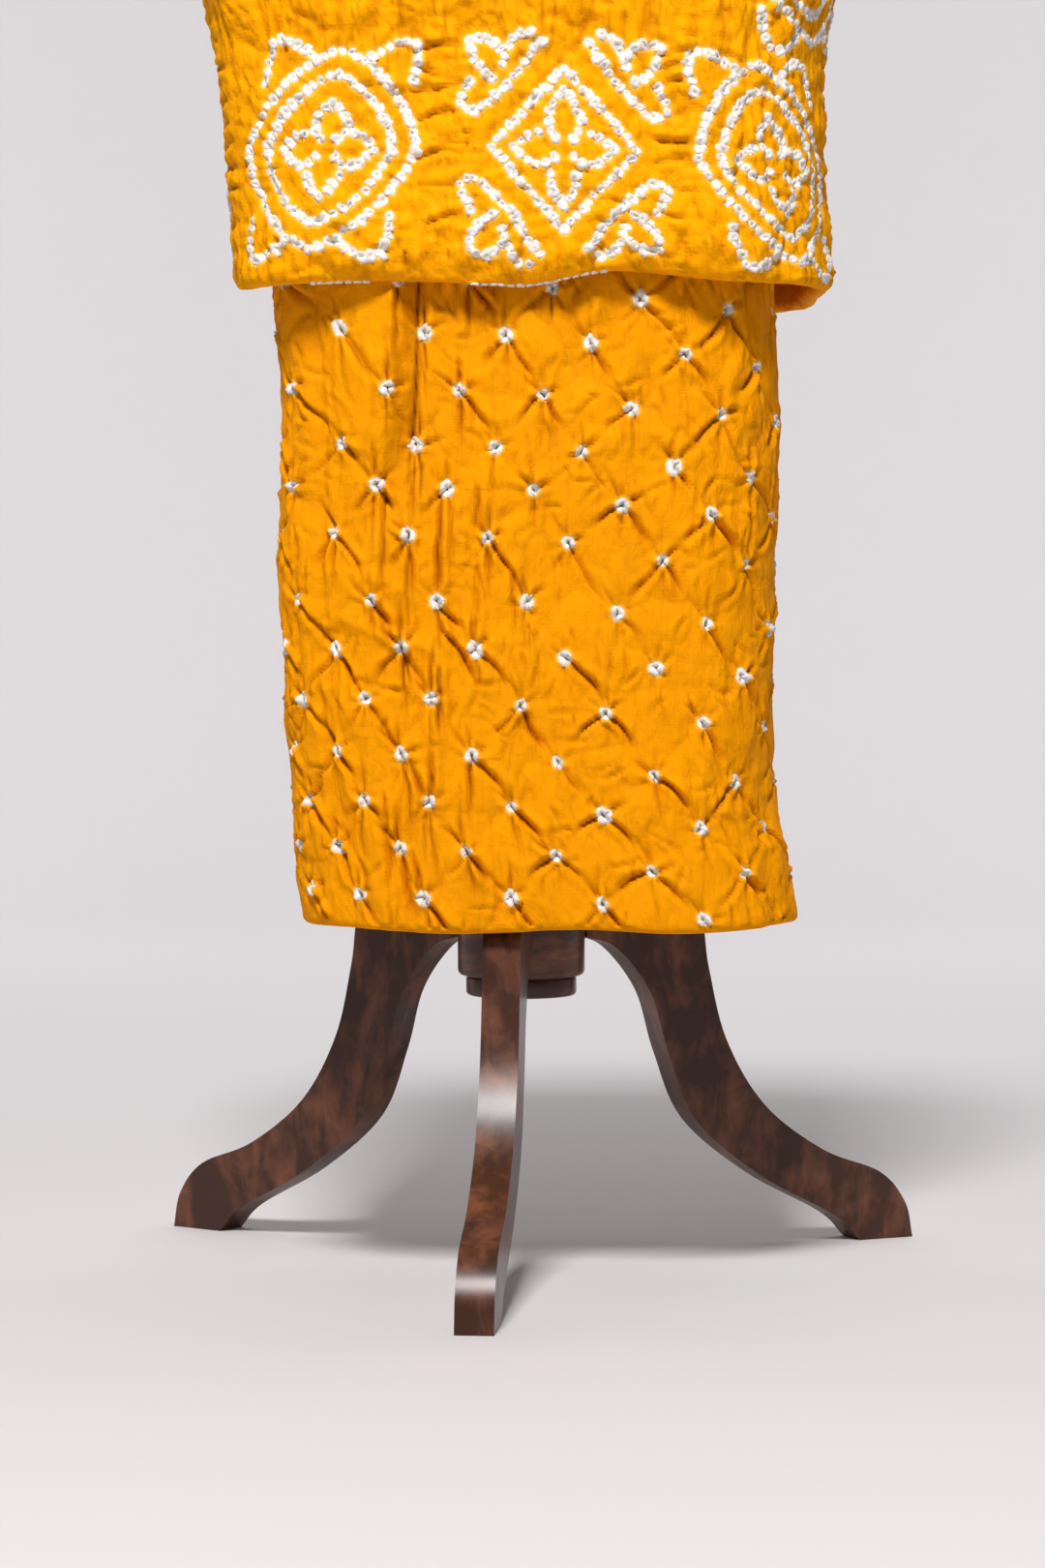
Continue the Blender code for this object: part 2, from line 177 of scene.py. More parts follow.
# Single creases: distance round, height, angle in degrees, length, half width, depth, bend
LOWER_CREASES = (
    (-0.081, 0.600, -89.0, 0.085, 0.0022, 0.0030, 0.0),
    (-0.099, 0.552, -91.0, 0.085, 0.0026, 0.0032, 0.0),
    (-0.061, 0.549, -91.0, 0.092, 0.0023, 0.0050, 0.0),
    (-0.063, 0.432, -91.0, 0.056, 0.0023, 0.0042, 0.0),
    (-0.036, 0.556, -90.0, 0.034, 0.0022, 0.0032, 0.0),
    (-0.036, 0.505, -94.0, 0.085, 0.0021, 0.0022, 0.2),
    (-0.010, 0.497, -90.0, 0.050, 0.0021, 0.0028, 0.0),
    (0.008, 0.636, -92.0, 0.072, 0.0021, 0.0014, 0.0),
    (-0.083, 0.500, -91.0, 0.080, 0.0020, 0.0020, 0.0),
    (-0.098, 0.456, -72.0, 0.048, 0.0024, 0.0046, 0.9),
    (-0.060, 0.457, -60.0, 0.052, 0.0024, 0.0046, 0.5),
    (-0.071, 0.664, -98.0, 0.070, 0.0023, 0.0020, 0.0),
    (-0.122, 0.660, -93.0, 0.090, 0.0030, 0.0012, 1.5),
    (-0.045, 0.730, -92.0, 0.050, 0.0024, 0.0036, 0.0),
    (-0.030, 0.735, -90.0, 0.060, 0.0024, 0.0026, 0.2),
    (-0.088, 0.374, -80.0, 0.045, 0.0024, 0.0034, 0.5),
    (-0.128, 0.300, -84.0, 0.040, 0.0024, 0.0028, 0.5),
    (-0.106, 0.345, -92.0, 0.080, 0.0022, 0.0030, 0.3),
    (-0.070, 0.360, -90.0, 0.090, 0.0022, 0.0030, -0.3),
    (-0.150, 0.420, -88.0, 0.090, 0.0026, 0.0022, 0.4),
)

# Upper tier
UPPER_HEM = 0.6940
UPPER_SHOULDER = 0.9700
FORM_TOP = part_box("form_body")[1][2]
TOP_TURN_IN = 0.036
# The border: how many medallions go round, where the front's are centred, and their height
MEDALLIONS_ROUND = 8
FIRST_DIAMOND = 0.0254
FRONT_RINGS = (-0.1354, 0.1770)
RIGHT_RING_DROP = 0.0090
MEDALLION_HEIGHT = 0.7840
# The row of rings above runs round the sides and the back only: its height, first place and pitch
SECOND_ROW_HEIGHT = 0.9290
SECOND_ROW_FIRST = 0.198
SECOND_ROW_PITCH = 0.2175
SECOND_ROW_COUNT = 5
# Sideways pull of the ring medallions near the corners, per unit of height
MEDALLION_SLANT = 0.32
# Strings of dots at the hem that peek out under the front: from and to, distance round
HEM_STRINGS = ((-0.150, -0.108), (-0.040, 0.052))
UPPER_FOLDS = (
    (-0.300, 0.022, 0.0050, 1.00, 0.66, 0.010),
    (-0.220, 0.020, 0.0040, 1.00, 0.72, 0.006),
    (-0.045, 0.018, 0.0030, 0.92, 0.66, 0.003),
    (0.122, 0.018, 0.0030, 0.94, 0.66, -0.004),
    (0.262, 0.022, 0.0050, 1.00, 0.66, -0.010),
    (0.420, 0.024, 0.0060, 1.00, 0.66, 0.008),
    (0.560, 0.022, 0.0050, 1.00, 0.66, -0.006),
    (-0.600, 0.024, 0.0060, 1.00, 0.66, 0.010),
    (-0.430, 0.022, 0.0050, 1.00, 0.66, 0.006),
)
# Each hem: radius of its roll, how far it is turned up inside, and its wave (distance round, lift)
LOWER_ROLL = 0.0050
LOWER_TURN_UP = 0.030
UPPER_ROLL = 0.0062
UPPER_TURN_UP = 0.035
# Where the turned-up layer ends, in from the wall
TURN_UP_INSET = 0.005
LOWER_WAVE = (
    (-0.60, 0.0),
    (-0.15, 0.003),
    (-0.06, -0.001),
    (0.02, 0.002),
    (0.09, -0.001),
    (0.20, 0.003),
    (0.60, 0.0),
)
UPPER_WAVE = (
    (-0.684, 0.002),
    (-0.52, 0.024),
    (-0.40, 0.024),
    (-0.30, 0.014),
    (-0.22, -0.002),
    (-0.10, 0.001),
    (-0.01, -0.002),
    (0.055, 0.008),
    (0.14, 0.001),
    (0.70, 0.0),
)

# Cloth grids: fine within the first distance of the front centre, then fine and coarse spacing
LOWER_GRID = (0.19, 0.0016, 0.0046)
UPPER_GRID = (0.25, 0.0021, 0.0034)
# Rosette of a tied dot: sides, and for each ring its share of the radius and its rise
LOWER_KNOT = (12, ((0.16, 0.0013), (0.34, 0.0018), (0.62, 0.0015), (0.86, 0.0008), (1.0, -0.0008)))
UPPER_KNOT = (8, ((0.24, 0.0012), (0.62, 0.0012), (0.90, 0.0005), (1.02, -0.0005)))
# How uneven a rosette is: its outline, its rings, how oval it is, and the rise of its wrinkles
OUTLINE_UNEVEN = 0.26
RING_UNEVEN = 0.05
OVAL = 0.20
WRINKLE_UNEVEN = 0.34
# Dots of a string that come nearer to each other than this are one dot
LEAST_BEAD_GAP = 0.0047

# Tripod legs: points (radius from the axis, height) of the two edges
LEG_ANGLES = {"leg_front": -90.0, "leg_right": 30.0, "leg_left": 150.0}
LEG_TURN = -5.53
LEG_THICKNESS = 0.0264
LEG_OUTER_EDGE = (
    (0.0463, 0.2660),
    (0.1100, 0.2640),
    (0.1380, 0.2480),
    (0.1457, 0.2100),
    (0.1605, 0.1560),
    (0.1925, 0.1060),
    (0.2420, 0.0700),
    (0.2900, 0.0510),
    (0.3120, 0.0270),
    (0.3186, 0.0),
)
LEG_INNER_EDGE = (
    (0.2735, 0.0),
    (0.2520, 0.0200),
    (0.1900, 0.0530),
    (0.1365, 0.0960),
    (0.1130, 0.1470),
    (0.0980, 0.1930),
    (0.0710, 0.2260),
    (0.0463, 0.2350),
)
HUB_RADIUS = (HUB_HIGH[0] - HUB_LOW[0]) / 2
# Turned hub's side: height, radius
HUB_PROFILE = (
    (0.1940, 0.0),
    (0.1940, 0.0365),
    (0.1943, 0.0380),
    (0.1952, 0.0393),
    (0.1966, 0.0400),
    (0.2060, 0.0400),
    (0.2070, 0.0396),
    (0.2076, 0.0386),
    (0.2082, 0.0386),
    (0.2084, 0.0420),
    (0.2092, 0.0442),
    (0.2106, 0.0455),
    (0.2126, HUB_RADIUS),
    (0.2717, HUB_RADIUS),
    (0.2717, 0.0),
)

# Camera and stage
CAMERA_DISTANCE = 3.0
CAMERA_HEIGHT = 0.4637
CAMERA_SIDE = 0.0009
CAMERA_PITCH = 0.039
CAMERA_FOCAL_PX = 4290
IMAGE_LONG_SIDE_PX = 1620
SENSOR_MM = 36.0


class BandhaniClothSettings(PropertyGroup):
    """Sizes and colours of the two tiers."""

    upper_dye: StringProperty(
        name="Upper dye", description="sRGB hex of the bordered tier", default="FAA700")
    lower_dye: StringProperty(
        name="Lower dye", description="sRGB hex of the dotted tier", default="F59E00")
    resist: StringProperty(name="Resist white", description="sRGB hex of the tied dots", default="E6E1DB")
    dot_radius: FloatProperty(
        name="Dot radius", description="Radius of a dot on the lower tier", default=0.0051, unit="LENGTH")
    bead_radius: FloatProperty(
        name="Bead radius", description="Radius of a dot in a medallion", default=0.0038, unit="LENGTH")
    bead_pitch: FloatProperty(
        name="Bead pitch", description="Distance between dots along a string", default=0.0062, unit="LENGTH")
    puff: FloatProperty(
        name="Puff", description="Rise of the cloth between the tied dots", default=0.0024, unit="LENGTH")
    crease_depth: FloatProperty(
        name="Crease depth", description="Depth of a main crease", default=0.0056, unit="LENGTH")
    seed: IntProperty(name="Seed", description="Which unevenness is drawn", default=7)


class BandhaniStandSettings(PropertyGroup):
    """Sizes and colours of the stand."""

    wood: StringProperty(name="Wood", description="sRGB hex of the dark stained wood", default="3E241A")
    wood_light: StringProperty(
        name="Wood figure", description="sRGB hex of the lighter mottling", default="7A4A33")
    jersey: StringProperty(name="Jersey", description="sRGB hex of the form's cover", default="CFC6B6")
    edge_round: FloatProperty(
        name="Edge round", description="Rounding of the legs' edges", default=0.0016, unit="LENGTH")


class BandhaniStageSettings(PropertyGroup):
    """Floor and lights."""

    floor: StringProperty(name="Floor", description="sRGB hex of the pale floor", default="D5D1D2")
    key_power: FloatProperty(
        name="Key light", description="Power of the key light", default=204.0, unit="POWER")
    overhead_power: FloatProperty(
        name="Overhead light", description="Power of the light over the floor", default=34.0, unit="POWER")
    wash_power: FloatProperty(
        name="Wall light", description="Power of each light on the wall behind", default=88.0, unit="POWER")
    sky: FloatProperty(name="Surround", description="Strength of the even surrounding light", default=0.08)


def linear(hex_colour):
    """An sRGB hex value as linear red, green, blue and alpha."""
    channels = [int(hex_colour[i:i + 2], 16) / 255 for i in (0, 2, 4)]
    return (*(c / 12.92 if c <= 0.04045 else ((c + 0.055) / 1.055) ** 2.4 for c in channels), 1.0)


def deselect():
    """Deselect everything."""
    for each in list(bpy.context.selected_objects):
        each.select_set(False)


def add_node(tree, kind, settings=None, values=None, links=None):
    """Add a node: its own settings by name, its sockets' values and its incoming links by socket."""
    node = tree.nodes.new(kind)
    for name, value in (settings or {}).items():
        setattr(node, name, value)
    for socket, value in (values or {}).items():
        node.inputs[socket].default_value = value
    for socket, source in (links or {}).items():
        tree.links.new(source, node.inputs[socket])
    return node


def new_material(name, finish):
    """A material with its Principled shader, set to these values, wired to the output."""
    made = bpy.data.materials.new(name)
    made.use_nodes = True
    tree = made.node_tree
    tree.nodes.clear()
    shader = add_node(tree, "ShaderNodeBsdfPrincipled", values=finish)
    add_node(tree, "ShaderNodeOutputMaterial", links={"Surface": shader.outputs[0]})
    return made, tree, shader


def cotton_material(name, dye, deep, crease_shade, resist, warmth):
    """Plain-woven cotton, tied, dipped in dye and dried unironed: matt, a little fuzzy, its threads
    uneven down the cloth, white where a tie kept the dye out and paler round it, and darkened with
    painted shade along its creases and over the pleats' slanting facets."""
    made, tree, shader = new_material(name, {
        "Roughness": 0.82, "IOR": 1.46, "Specular IOR Level": 0.06,
        "Sheen Weight": 0.12, "Sheen Roughness": 0.5, "Sheen Tint": linear(dye)})
    uv = add_node(tree, "ShaderNodeUVMap", {"uv_map": "cloth"})
    # Slubs in the warp, about 1.4 mm apart and 30 mm long, drawn coarser than thread so that they show
    warp_place = add_node(
        tree, "ShaderNodeMapping", values={"Scale": (700.0, 34.0, 1.0)}, links={"Vector": uv.outputs[0]})
    warp = add_node(tree, "ShaderNodeTexNoise", values={"Scale": 1.0, "Detail": 2.0, "Roughness": 0.6},
                    links={"Vector": warp_place.outputs[0]})
    weft_place = add_node(
        tree, "ShaderNodeMapping", values={"Scale": (60.0, 900.0, 1.0)}, links={"Vector": uv.outputs[0]})
    weft = add_node(tree, "ShaderNodeTexNoise", values={"Scale": 1.0, "Detail": 1.0, "Roughness": 0.5},
                    links={"Vector": weft_place.outputs[0]})
    # Small crumples left by the tying, 4 to 9 mm, longer down the cloth than across
    crumple_place = add_node(
        tree, "ShaderNodeMapping", values={"Scale": (190.0, 85.0, 1.0)}, links={"Vector": uv.outputs[0]})
    crumple = add_node(tree, "ShaderNodeTexNoise",
                       values={"Scale": 1.0, "Detail": 3.0, "Roughness": 0.55, "Distortion": 0.6},
                       links={"Vector": crumple_place.outputs[0]})
    # Dye taken up unevenly over 30 to 60 mm
    patch = add_node(tree, "ShaderNodeTexNoise", values={"Scale": 24.0, "Detail": 2.0},
                     links={"Vector": uv.outputs[0]})
    tone = add_node(tree, "ShaderNodeMath", {"operation": "MULTIPLY_ADD"},
                    {1: 0.70, 2: 0.02}, {0: patch.outputs["Fac"]})
    tone = add_node(tree, "ShaderNodeMath", {"operation": "MULTIPLY_ADD"},
                    {1: 0.45}, {0: warp.outputs["Fac"], 2: tone.outputs[0]})
    dyed = add_node(tree, "ShaderNodeMix", {"data_type": "RGBA"},
                    {"A": linear(deep), "B": linear(dye)}, {"Factor": tone.outputs[0]})
    # Painted shade: the colour is darkened towards the crease shade colour in the creases and over the
    # pleats' slanting facets, as far as the pinch mask says
    pinch = add_node(tree, "ShaderNodeAttribute", {"attribute_name": "pinch"})
    gathered = add_node(tree, "ShaderNodeMath", {"operation": "MULTIPLY"},
                        {1: 0.95}, {0: pinch.outputs["Fac"]})
    dyed = add_node(tree, "ShaderNodeMix", {"data_type": "RGBA"}, {"B": linear(crease_shade)},
                    {"Factor": gathered.outputs[0], "A": dyed.outputs["Result"]})
    # Distance to the nearest tie, with a ragged edge where the dye crept under the thread
    gap = add_node(tree, "ShaderNodeAttribute", {"attribute_name": "tie_gap"})
    creep_noise = add_node(tree, "ShaderNodeTexNoise", values={"Scale": 620.0, "Detail": 2.0},
                           links={"Vector": uv.outputs[0]})
    creep = add_node(tree, "ShaderNodeMath", {"operation": "MULTIPLY_ADD"},
                     {1: 0.0018, 2: -0.0009}, {0: creep_noise.outputs["Fac"]})
    ragged = add_node(tree, "ShaderNodeMath", {"operation": "ADD"},
                      links={0: gap.outputs["Fac"], 1: creep.outputs[0]})
    white = add_node(tree, "ShaderNodeMapRange", {"interpolation_type": "SMOOTHSTEP"},
                     {"From Min": 0.0004, "From Max": -0.0005}, {"Value": ragged.outputs[0]})
    halo = add_node(tree, "ShaderNodeMapRange", {"interpolation_type": "SMOOTHSTEP"},
                    {"From Min": 0.0032, "From Max": 0.0, "To Max": 0.45}, {"Value": ragged.outputs[0]})
    warm = add_node(tree, "ShaderNodeMix", {"data_type": "RGBA"}, {"B": linear(warmth)},
                    {"Factor": halo.outputs[0], "A": dyed.outputs["Result"]})
    colour = add_node(tree, "ShaderNodeMix", {"data_type": "RGBA"}, {"B": linear(resist)},
                      {"Factor": white.outputs[0], "A": warm.outputs["Result"]})
    tree.links.new(colour.outputs["Result"], shader.inputs["Base Color"])
    threads = add_node(tree, "ShaderNodeMath", {"operation": "ADD"},
                       links={0: warp.outputs["Fac"], 1: weft.outputs["Fac"]})
    woven = add_node(tree, "ShaderNodeBump", values={"Strength": 0.6, "Distance": 0.0004},
                     links={"Height": threads.outputs[0]})
    crumpled = add_node(tree, "ShaderNodeBump", values={"Strength": 1.0, "Distance": 0.0013},
                        links={"Height": crumple.outputs["Fac"], "Normal": woven.outputs[0]})
    tree.links.new(crumpled.outputs[0], shader.inputs["Normal"])
    return made


def tie_material(name, resist, stain):
    """Undyed cotton drawn up to a point by the tie: white, wrinkled to a fine rosette, with a brownish
    speck where the knot sat, and greyed with painted shade in the hollows of its wrinkles."""
    made, tree, shader = new_material(
        name, {"Roughness": 0.85, "Specular IOR Level": 0.2, "Sheen Weight": 0.1})
    place = add_node(tree, "ShaderNodeTexCoord")
    wrinkle = add_node(tree, "ShaderNodeTexNoise",
                       values={"Scale": 700.0, "Detail": 2.0, "Roughness": 0.6, "Distortion": 0.8},
                       links={"Vector": place.outputs["Object"]})
    core = add_node(tree, "ShaderNodeAttribute", {"attribute_name": "knot"})
    speck = add_node(tree, "ShaderNodeMath", {"operation": "MULTIPLY"},
                     links={0: core.outputs["Fac"], 1: wrinkle.outputs["Fac"]})
    share = add_node(tree, "ShaderNodeMapRange", values={"From Min": 0.22, "From Max": 0.80, "To Max": 0.60},
                     links={"Value": speck.outputs[0]})
    # Painted shade: greyer (DDD6D0) where the wrinkle bump sinks into hollows
    wrinkle_shade = add_node(tree, "ShaderNodeMix", {"data_type": "RGBA"},
                    {"A": linear("DDD6D0"), "B": linear(resist)}, {"Factor": wrinkle.outputs["Fac"]})
    colour = add_node(tree, "ShaderNodeMix", {"data_type": "RGBA"}, {"B": linear(stain)},
                      {"Factor": share.outputs[0], "A": wrinkle_shade.outputs["Result"]})
    tree.links.new(colour.outputs["Result"], shader.inputs["Base Color"])
    bump = add_node(tree, "ShaderNodeBump", values={"Strength": 0.5, "Distance": 0.0006},
                    links={"Height": wrinkle.outputs["Fac"]})
    tree.links.new(bump.outputs[0], shader.inputs["Normal"])
    return made


def wood_material(name, dark, light, grain_scale):
    """Hardwood, sawn and sanded, stained nearly black and lacquered: a hard gloss over a mottled figure,
    lighter where the stain rubbed thin."""
    made, tree, shader = new_material(
        name, {"IOR": 1.45, "Specular IOR Level": 0.25, "Coat Weight": 0.20, "Coat Roughness": 0.22})
    place = add_node(tree, "ShaderNodeTexCoord")
    along = add_node(tree, "ShaderNodeMapping", values={"Scale": grain_scale},
                     links={"Vector": place.outputs["Object"]})
    # Grain about 2 mm wide
    grain = add_node(tree, "ShaderNodeTexNoise",
                     values={"Scale": 1.0, "Detail": 5.0, "Roughness": 0.62, "Distortion": 0.7},
                     links={"Vector": along.outputs[0]})
    # Stain taken up in clouds 20 to 50 mm across
    cloud = add_node(tree, "ShaderNodeTexNoise", values={"Scale": 26.0, "Detail": 3.0, "Roughness": 0.55},
                     links={"Vector": place.outputs["Object"]})
    mixed = add_node(tree, "ShaderNodeMath", {"operation": "MULTIPLY"},
                     links={0: grain.outputs["Fac"], 1: cloud.outputs["Fac"]})
    shown = add_node(tree, "ShaderNodeMapRange", values={"From Min": 0.20, "From Max": 0.42},
                     links={"Value": mixed.outputs[0]})
    colour = add_node(tree, "ShaderNodeMix", {"data_type": "RGBA"},
                      {"A": linear(dark), "B": linear(light)}, {"Factor": shown.outputs[0]})
    tree.links.new(colour.outputs["Result"], shader.inputs["Base Color"])
    rough = add_node(tree, "ShaderNodeMapRange", values={"To Min": 0.26, "To Max": 0.42},
                     links={"Value": cloud.outputs["Fac"]})
    tree.links.new(rough.outputs[0], shader.inputs["Roughness"])
    bump = add_node(tree, "ShaderNodeBump", values={"Strength": 0.12, "Distance": 0.0004},
                    links={"Height": grain.outputs["Fac"]})
    tree.links.new(bump.outputs[0], shader.inputs["Normal"])
    return made


def jersey_material(name, colour_hex):
    """Knitted cotton jersey stretched over the form: matt, with fine ribs."""
    made, tree, shader = new_material(name, {"Roughness": 0.9, "Sheen Weight": 0.2})
    place = add_node(tree, "ShaderNodeTexCoord")
    ribs = add_node(tree, "ShaderNodeTexWave", {"bands_direction": "X"},
                    {"Scale": 260.0, "Distortion": 0.8, "Detail": 1.0}, {"Vector": place.outputs["Object"]})
    fuzz = add_node(tree, "ShaderNodeTexNoise", values={"Scale": 420.0, "Detail": 2.0},
                    links={"Vector": place.outputs["Object"]})
    base = Vector(linear(colour_hex)[:3])
    colour = add_node(tree, "ShaderNodeValToRGB", links={"Fac": fuzz.outputs["Fac"]})
    for stop, place_on, shade in zip(colour.color_ramp.elements, (0.3, 0.7), (0.86, 1.0)):
        stop.position = place_on
        stop.color = (*(shade * base), 1.0)
    tree.links.new(colour.outputs["Color"], shader.inputs["Base Color"])
    bump = add_node(tree, "ShaderNodeBump", values={"Strength": 0.4, "Distance": 0.0004},
                    links={"Height": ribs.outputs["Fac"]})
    tree.links.new(bump.outputs[0], shader.inputs["Normal"])
    return made


def table_at(table, keys):
    """Values of a table at these keys, eased between its rows: an array for each column after the first."""
    rows = np.array(table, dtype=float)
    keys = np.clip(np.asarray(keys, dtype=float), rows[0, 0], rows[-1, 0])
    low = np.clip(np.searchsorted(rows[:, 0], keys, side="right") - 1, 0, len(rows) - 2)
    t = (keys - rows[low, 0]) / (rows[low + 1, 0] - rows[low, 0])
    t = t * t * (3 - 2 * t)
    return [rows[low, k] + (rows[low + 1, k] - rows[low, k]) * t for k in range(1, rows.shape[1])]


def walk_round(shares, half_width, half_depth, centre, corners):
    """Points on a rounded-rectangle section, these shares of the way round to the right from its front
    centre, with the outward directions there and the section's length round."""
    front_left, front_right, back_right, back_left = corners
    quarter = math.pi / 2
    # Each piece: length, start point, heading, radius (0 for a straight)
    pieces = (
        (half_width - front_right, (0.0, -half_depth), 0.0, 0.0),
        (quarter * front_right, (half_width - front_right, -half_depth), 0.0, front_right),
        (2 * half_depth - front_right - back_right, (half_width, front_right - half_depth), quarter, 0.0),
        (quarter * back_right, (half_width, half_depth - back_right), quarter, back_right),
        (2 * half_width - back_right - back_left, (half_width - back_right, half_depth), 2 * quarter, 0.0),
        (quarter * back_left, (back_left - half_width, half_depth), 2 * quarter, back_left),
        (2 * half_depth - back_left - front_left, (-half_width, half_depth - back_left), 3 * quarter, 0.0),
        (quarter * front_left, (-half_width, front_left - half_depth), 3 * quarter, front_left),
        (half_width - front_left, (front_left - half_width, -half_depth), 0.0, 0.0),
    )
    length = sum(piece[0] for piece in pieces)
    rest = (shares % 1.0) * length
    x, y, heading = np.zeros_like(rest), np.zeros_like(rest), np.zeros_like(rest)
    begun = 0.0
    for run, start, bearing, radius in pieces:
        here = rest >= begun - 1e-9
        gone = rest[here] - begun
        if radius:
            turned = bearing + gone / radius
            x[here] = start[0] + radius * (np.sin(turned) - math.sin(bearing))
            y[here] = start[1] - radius * (np.cos(turned) - math.cos(bearing))
            heading[here] = turned
        else:
            x[here] = start[0] + gone * math.cos(bearing)
            y[here] = start[1] + gone * math.sin(bearing)
            heading[here] = bearing
        begun += run
    return x + centre, y, np.sin(heading), -np.cos(heading), length


def round_distance(distance, length):
    """The same place, as a distance from the front centre of half a round at most."""
    return (np.asarray(distance) + length / 2) % length - length / 2


def uneven(shape, seed):
    """A smooth periodic field of values between about -1 and 1 over (rows, columns)."""
    rng = np.random.default_rng(seed)
    knots = rng.uniform(-1, 1, shape)

    def field(row_share, column_share):
        r = np.clip(row_share, 0, 1) * (shape[0] - 1.001)
        c = (column_share % 1.0) * shape[1]
        r0 = r.astype(int)
        c0 = c.astype(int) % shape[1]
        c1 = (c0 + 1) % shape[1]
        fr = r - r0
        fc = c - c.astype(int)
        fr = fr * fr * (3 - 2 * fr)
        fc = fc * fc * (3 - 2 * fc)
        low = knots[r0, c0] * (1 - fc) + knots[r0, c1] * fc
        high = knots[r0 + 1, c0] * (1 - fc) + knots[r0 + 1, c1] * fc
        return low * (1 - fr) + high * fr

    return field


class Sheet:
    """A tube of cloth as a grid: columns by distance round, rows by height on the wall, then under the hem.

    place holds the distance round at mid height, height the level of each row, down the length of cloth
    from the top, relief the rise of the cloth off its plain section, and pinch the strength of the
    shade painted in its creases."""

    def __init__(self, length, columns, rows):
        self.length = length
        self.place = columns
        self.height = np.array([row[0] for row in rows])
        self.inset = np.array([row[1] for row in rows])
        self.down = np.concatenate([[0.0], np.cumsum(np.hypot(np.diff(self.height), np.diff(self.inset)))])
        self.relief = np.zeros((len(rows), len(columns)))
        self.gap = np.full(self.relief.shape, 0.02)
        self.pinch = np.zeros(self.relief.shape)
        self.wall = [i for i, row in enumerate(rows) if row[2]]

    def window(self, distance, height, reach):
        """The wall's rows and the columns within reach of a place, with their offsets from it."""
        first, last = self.wall[0], self.wall[-1]
        heights = self.height[first:last + 1]
        rows = first + np.nonzero(np.abs(heights - height) < reach)[0]
        off = round_distance(self.place - distance, self.length)
        columns = np.nonzero(np.abs(off) < reach)[0]
        return rows, columns, off[columns][None, :], (self.height[rows] - height)[:, None]

    def stamp(self, distance, height, reach, shape):
        """Add shape(across, up) to the relief round a place."""
        rows, columns, across, up = self.window(distance, height, reach)
        if len(rows) and len(columns):
            self.relief[np.ix_(rows, columns)] += shape(across, up)

    def crease(self, distance, height, degrees, length, half_width, depth, bend, deep_to):
        """A valley from a place, bent as it goes, with a soft lip on each side. It keeps its depth to the
        share deep_to of its length and then dies away."""
        cos, sin = math.cos(math.radians(degrees)), math.sin(math.radians(degrees))
        rows, columns, across, up = self.window(distance, height, length + 4 * half_width)
        if not len(rows) or not len(columns):
            return
        along = across * cos + up * sin
        share = along / length
        off = up * cos - across * sin - bend * length * share * (1 - share) * 0.5
        off = off + WANDER * np.sin(along / 0.0052 + 40 * bend + 90 * distance) * np.clip(share * 3, 0, 1)
        widen = half_width * (0.75 + 0.5 * np.clip(share, 0, 1))
        rise = np.clip((share + 0.06) / 0.10, 0, 1)
        fall = np.clip((1 - share) / (1 - deep_to), 0, 1)
        strength = rise * fall * fall * (3 - 2 * fall)
        valley = np.exp(-(off / widen) ** 2)
        lip = np.exp(-((off - 2.1 * widen) / (1.6 * widen)) ** 2) * (1 + 0.5 * np.sign(bend + 0.01))
        lip = lip + np.exp(-((off + 2.1 * widen) / (1.6 * widen)) ** 2)
        block = np.ix_(rows, columns)
        self.relief[block] += strength * depth * (LIP * lip - valley)
        # Shade painted along the valley's bottom, full once the crease is FULL_PINCH deep
        painted_shade = strength * min(1.0, depth / FULL_PINCH) * np.exp(-(off / (0.55 * widen)) ** 2)
        self.pinch[block] = np.maximum(self.pinch[block], painted_shade)

    def pleat(self, top_place, top, foot_place, foot, run, rise):
        """A flat tuck: the cloth climbs gently from the left to a ridge, slants down to the right over run,
        and turns up sharply again."""
        heights = self.height[:, None]
        along = np.clip((top - heights) / (top - foot), 0, 1)
        ridge = top_place + (foot_place - top_place) * along
        off = round_distance(self.place[None, :] - ridge, self.length)
        climb = np.clip(1 + off / 0.045, 0, 1) * (off <= 0)
        slant = np.clip(1 - off / run * 1.35, -0.35, 1) * (off > 0) * (off <= run)
        back = -0.35 * np.clip(1 - (off - run) / 0.0035, 0, 1) * (off > run)
        strength = np.clip(4.0 * (1 - along), 0, 1) * (heights >= foot)
        self.relief += rise * strength * (climb ** 1.6 + slant + back)
        # Painted shade: a dark line along the sharp valley and a paler painted shade over the slanting
        # facet, weaker on low pleats
        painted_shade = 0.95 * np.exp(-((off - run) / 0.0014) ** 2) + 0.24 * (off > 0) * (off < run)
        self.pinch = np.maximum(self.pinch, strength * min(1.0, (rise / 0.0085) ** 2) * painted_shade)

    def folds(self, table):
        """Long soft folds down the cloth."""
        heights = self.height[:, None]
        for place, half_width, high, top, foot, lean in table:
            along = (heights - foot) / (top - foot)
            inside = (along > 0) & (along < 1)
            off = round_distance(self.place[None, :] - place - lean * (along - 0.5) * 2, self.length)
            swell = np.clip(4 * along * (1 - along) + 0.2, 0, 1)
            self.relief += inside * high * np.exp(-((off / half_width) ** 2)) * swell

    def tie(self, distance, height, radius):
        """Note a tied dot, so that the dye stops round it."""
        rows, columns, across, up = self.window(distance, height, radius + 0.012)
        near = np.hypot(across, up) - radius
        block = np.ix_(rows, columns)
        self.gap[block] = np.minimum(self.gap[block], near)

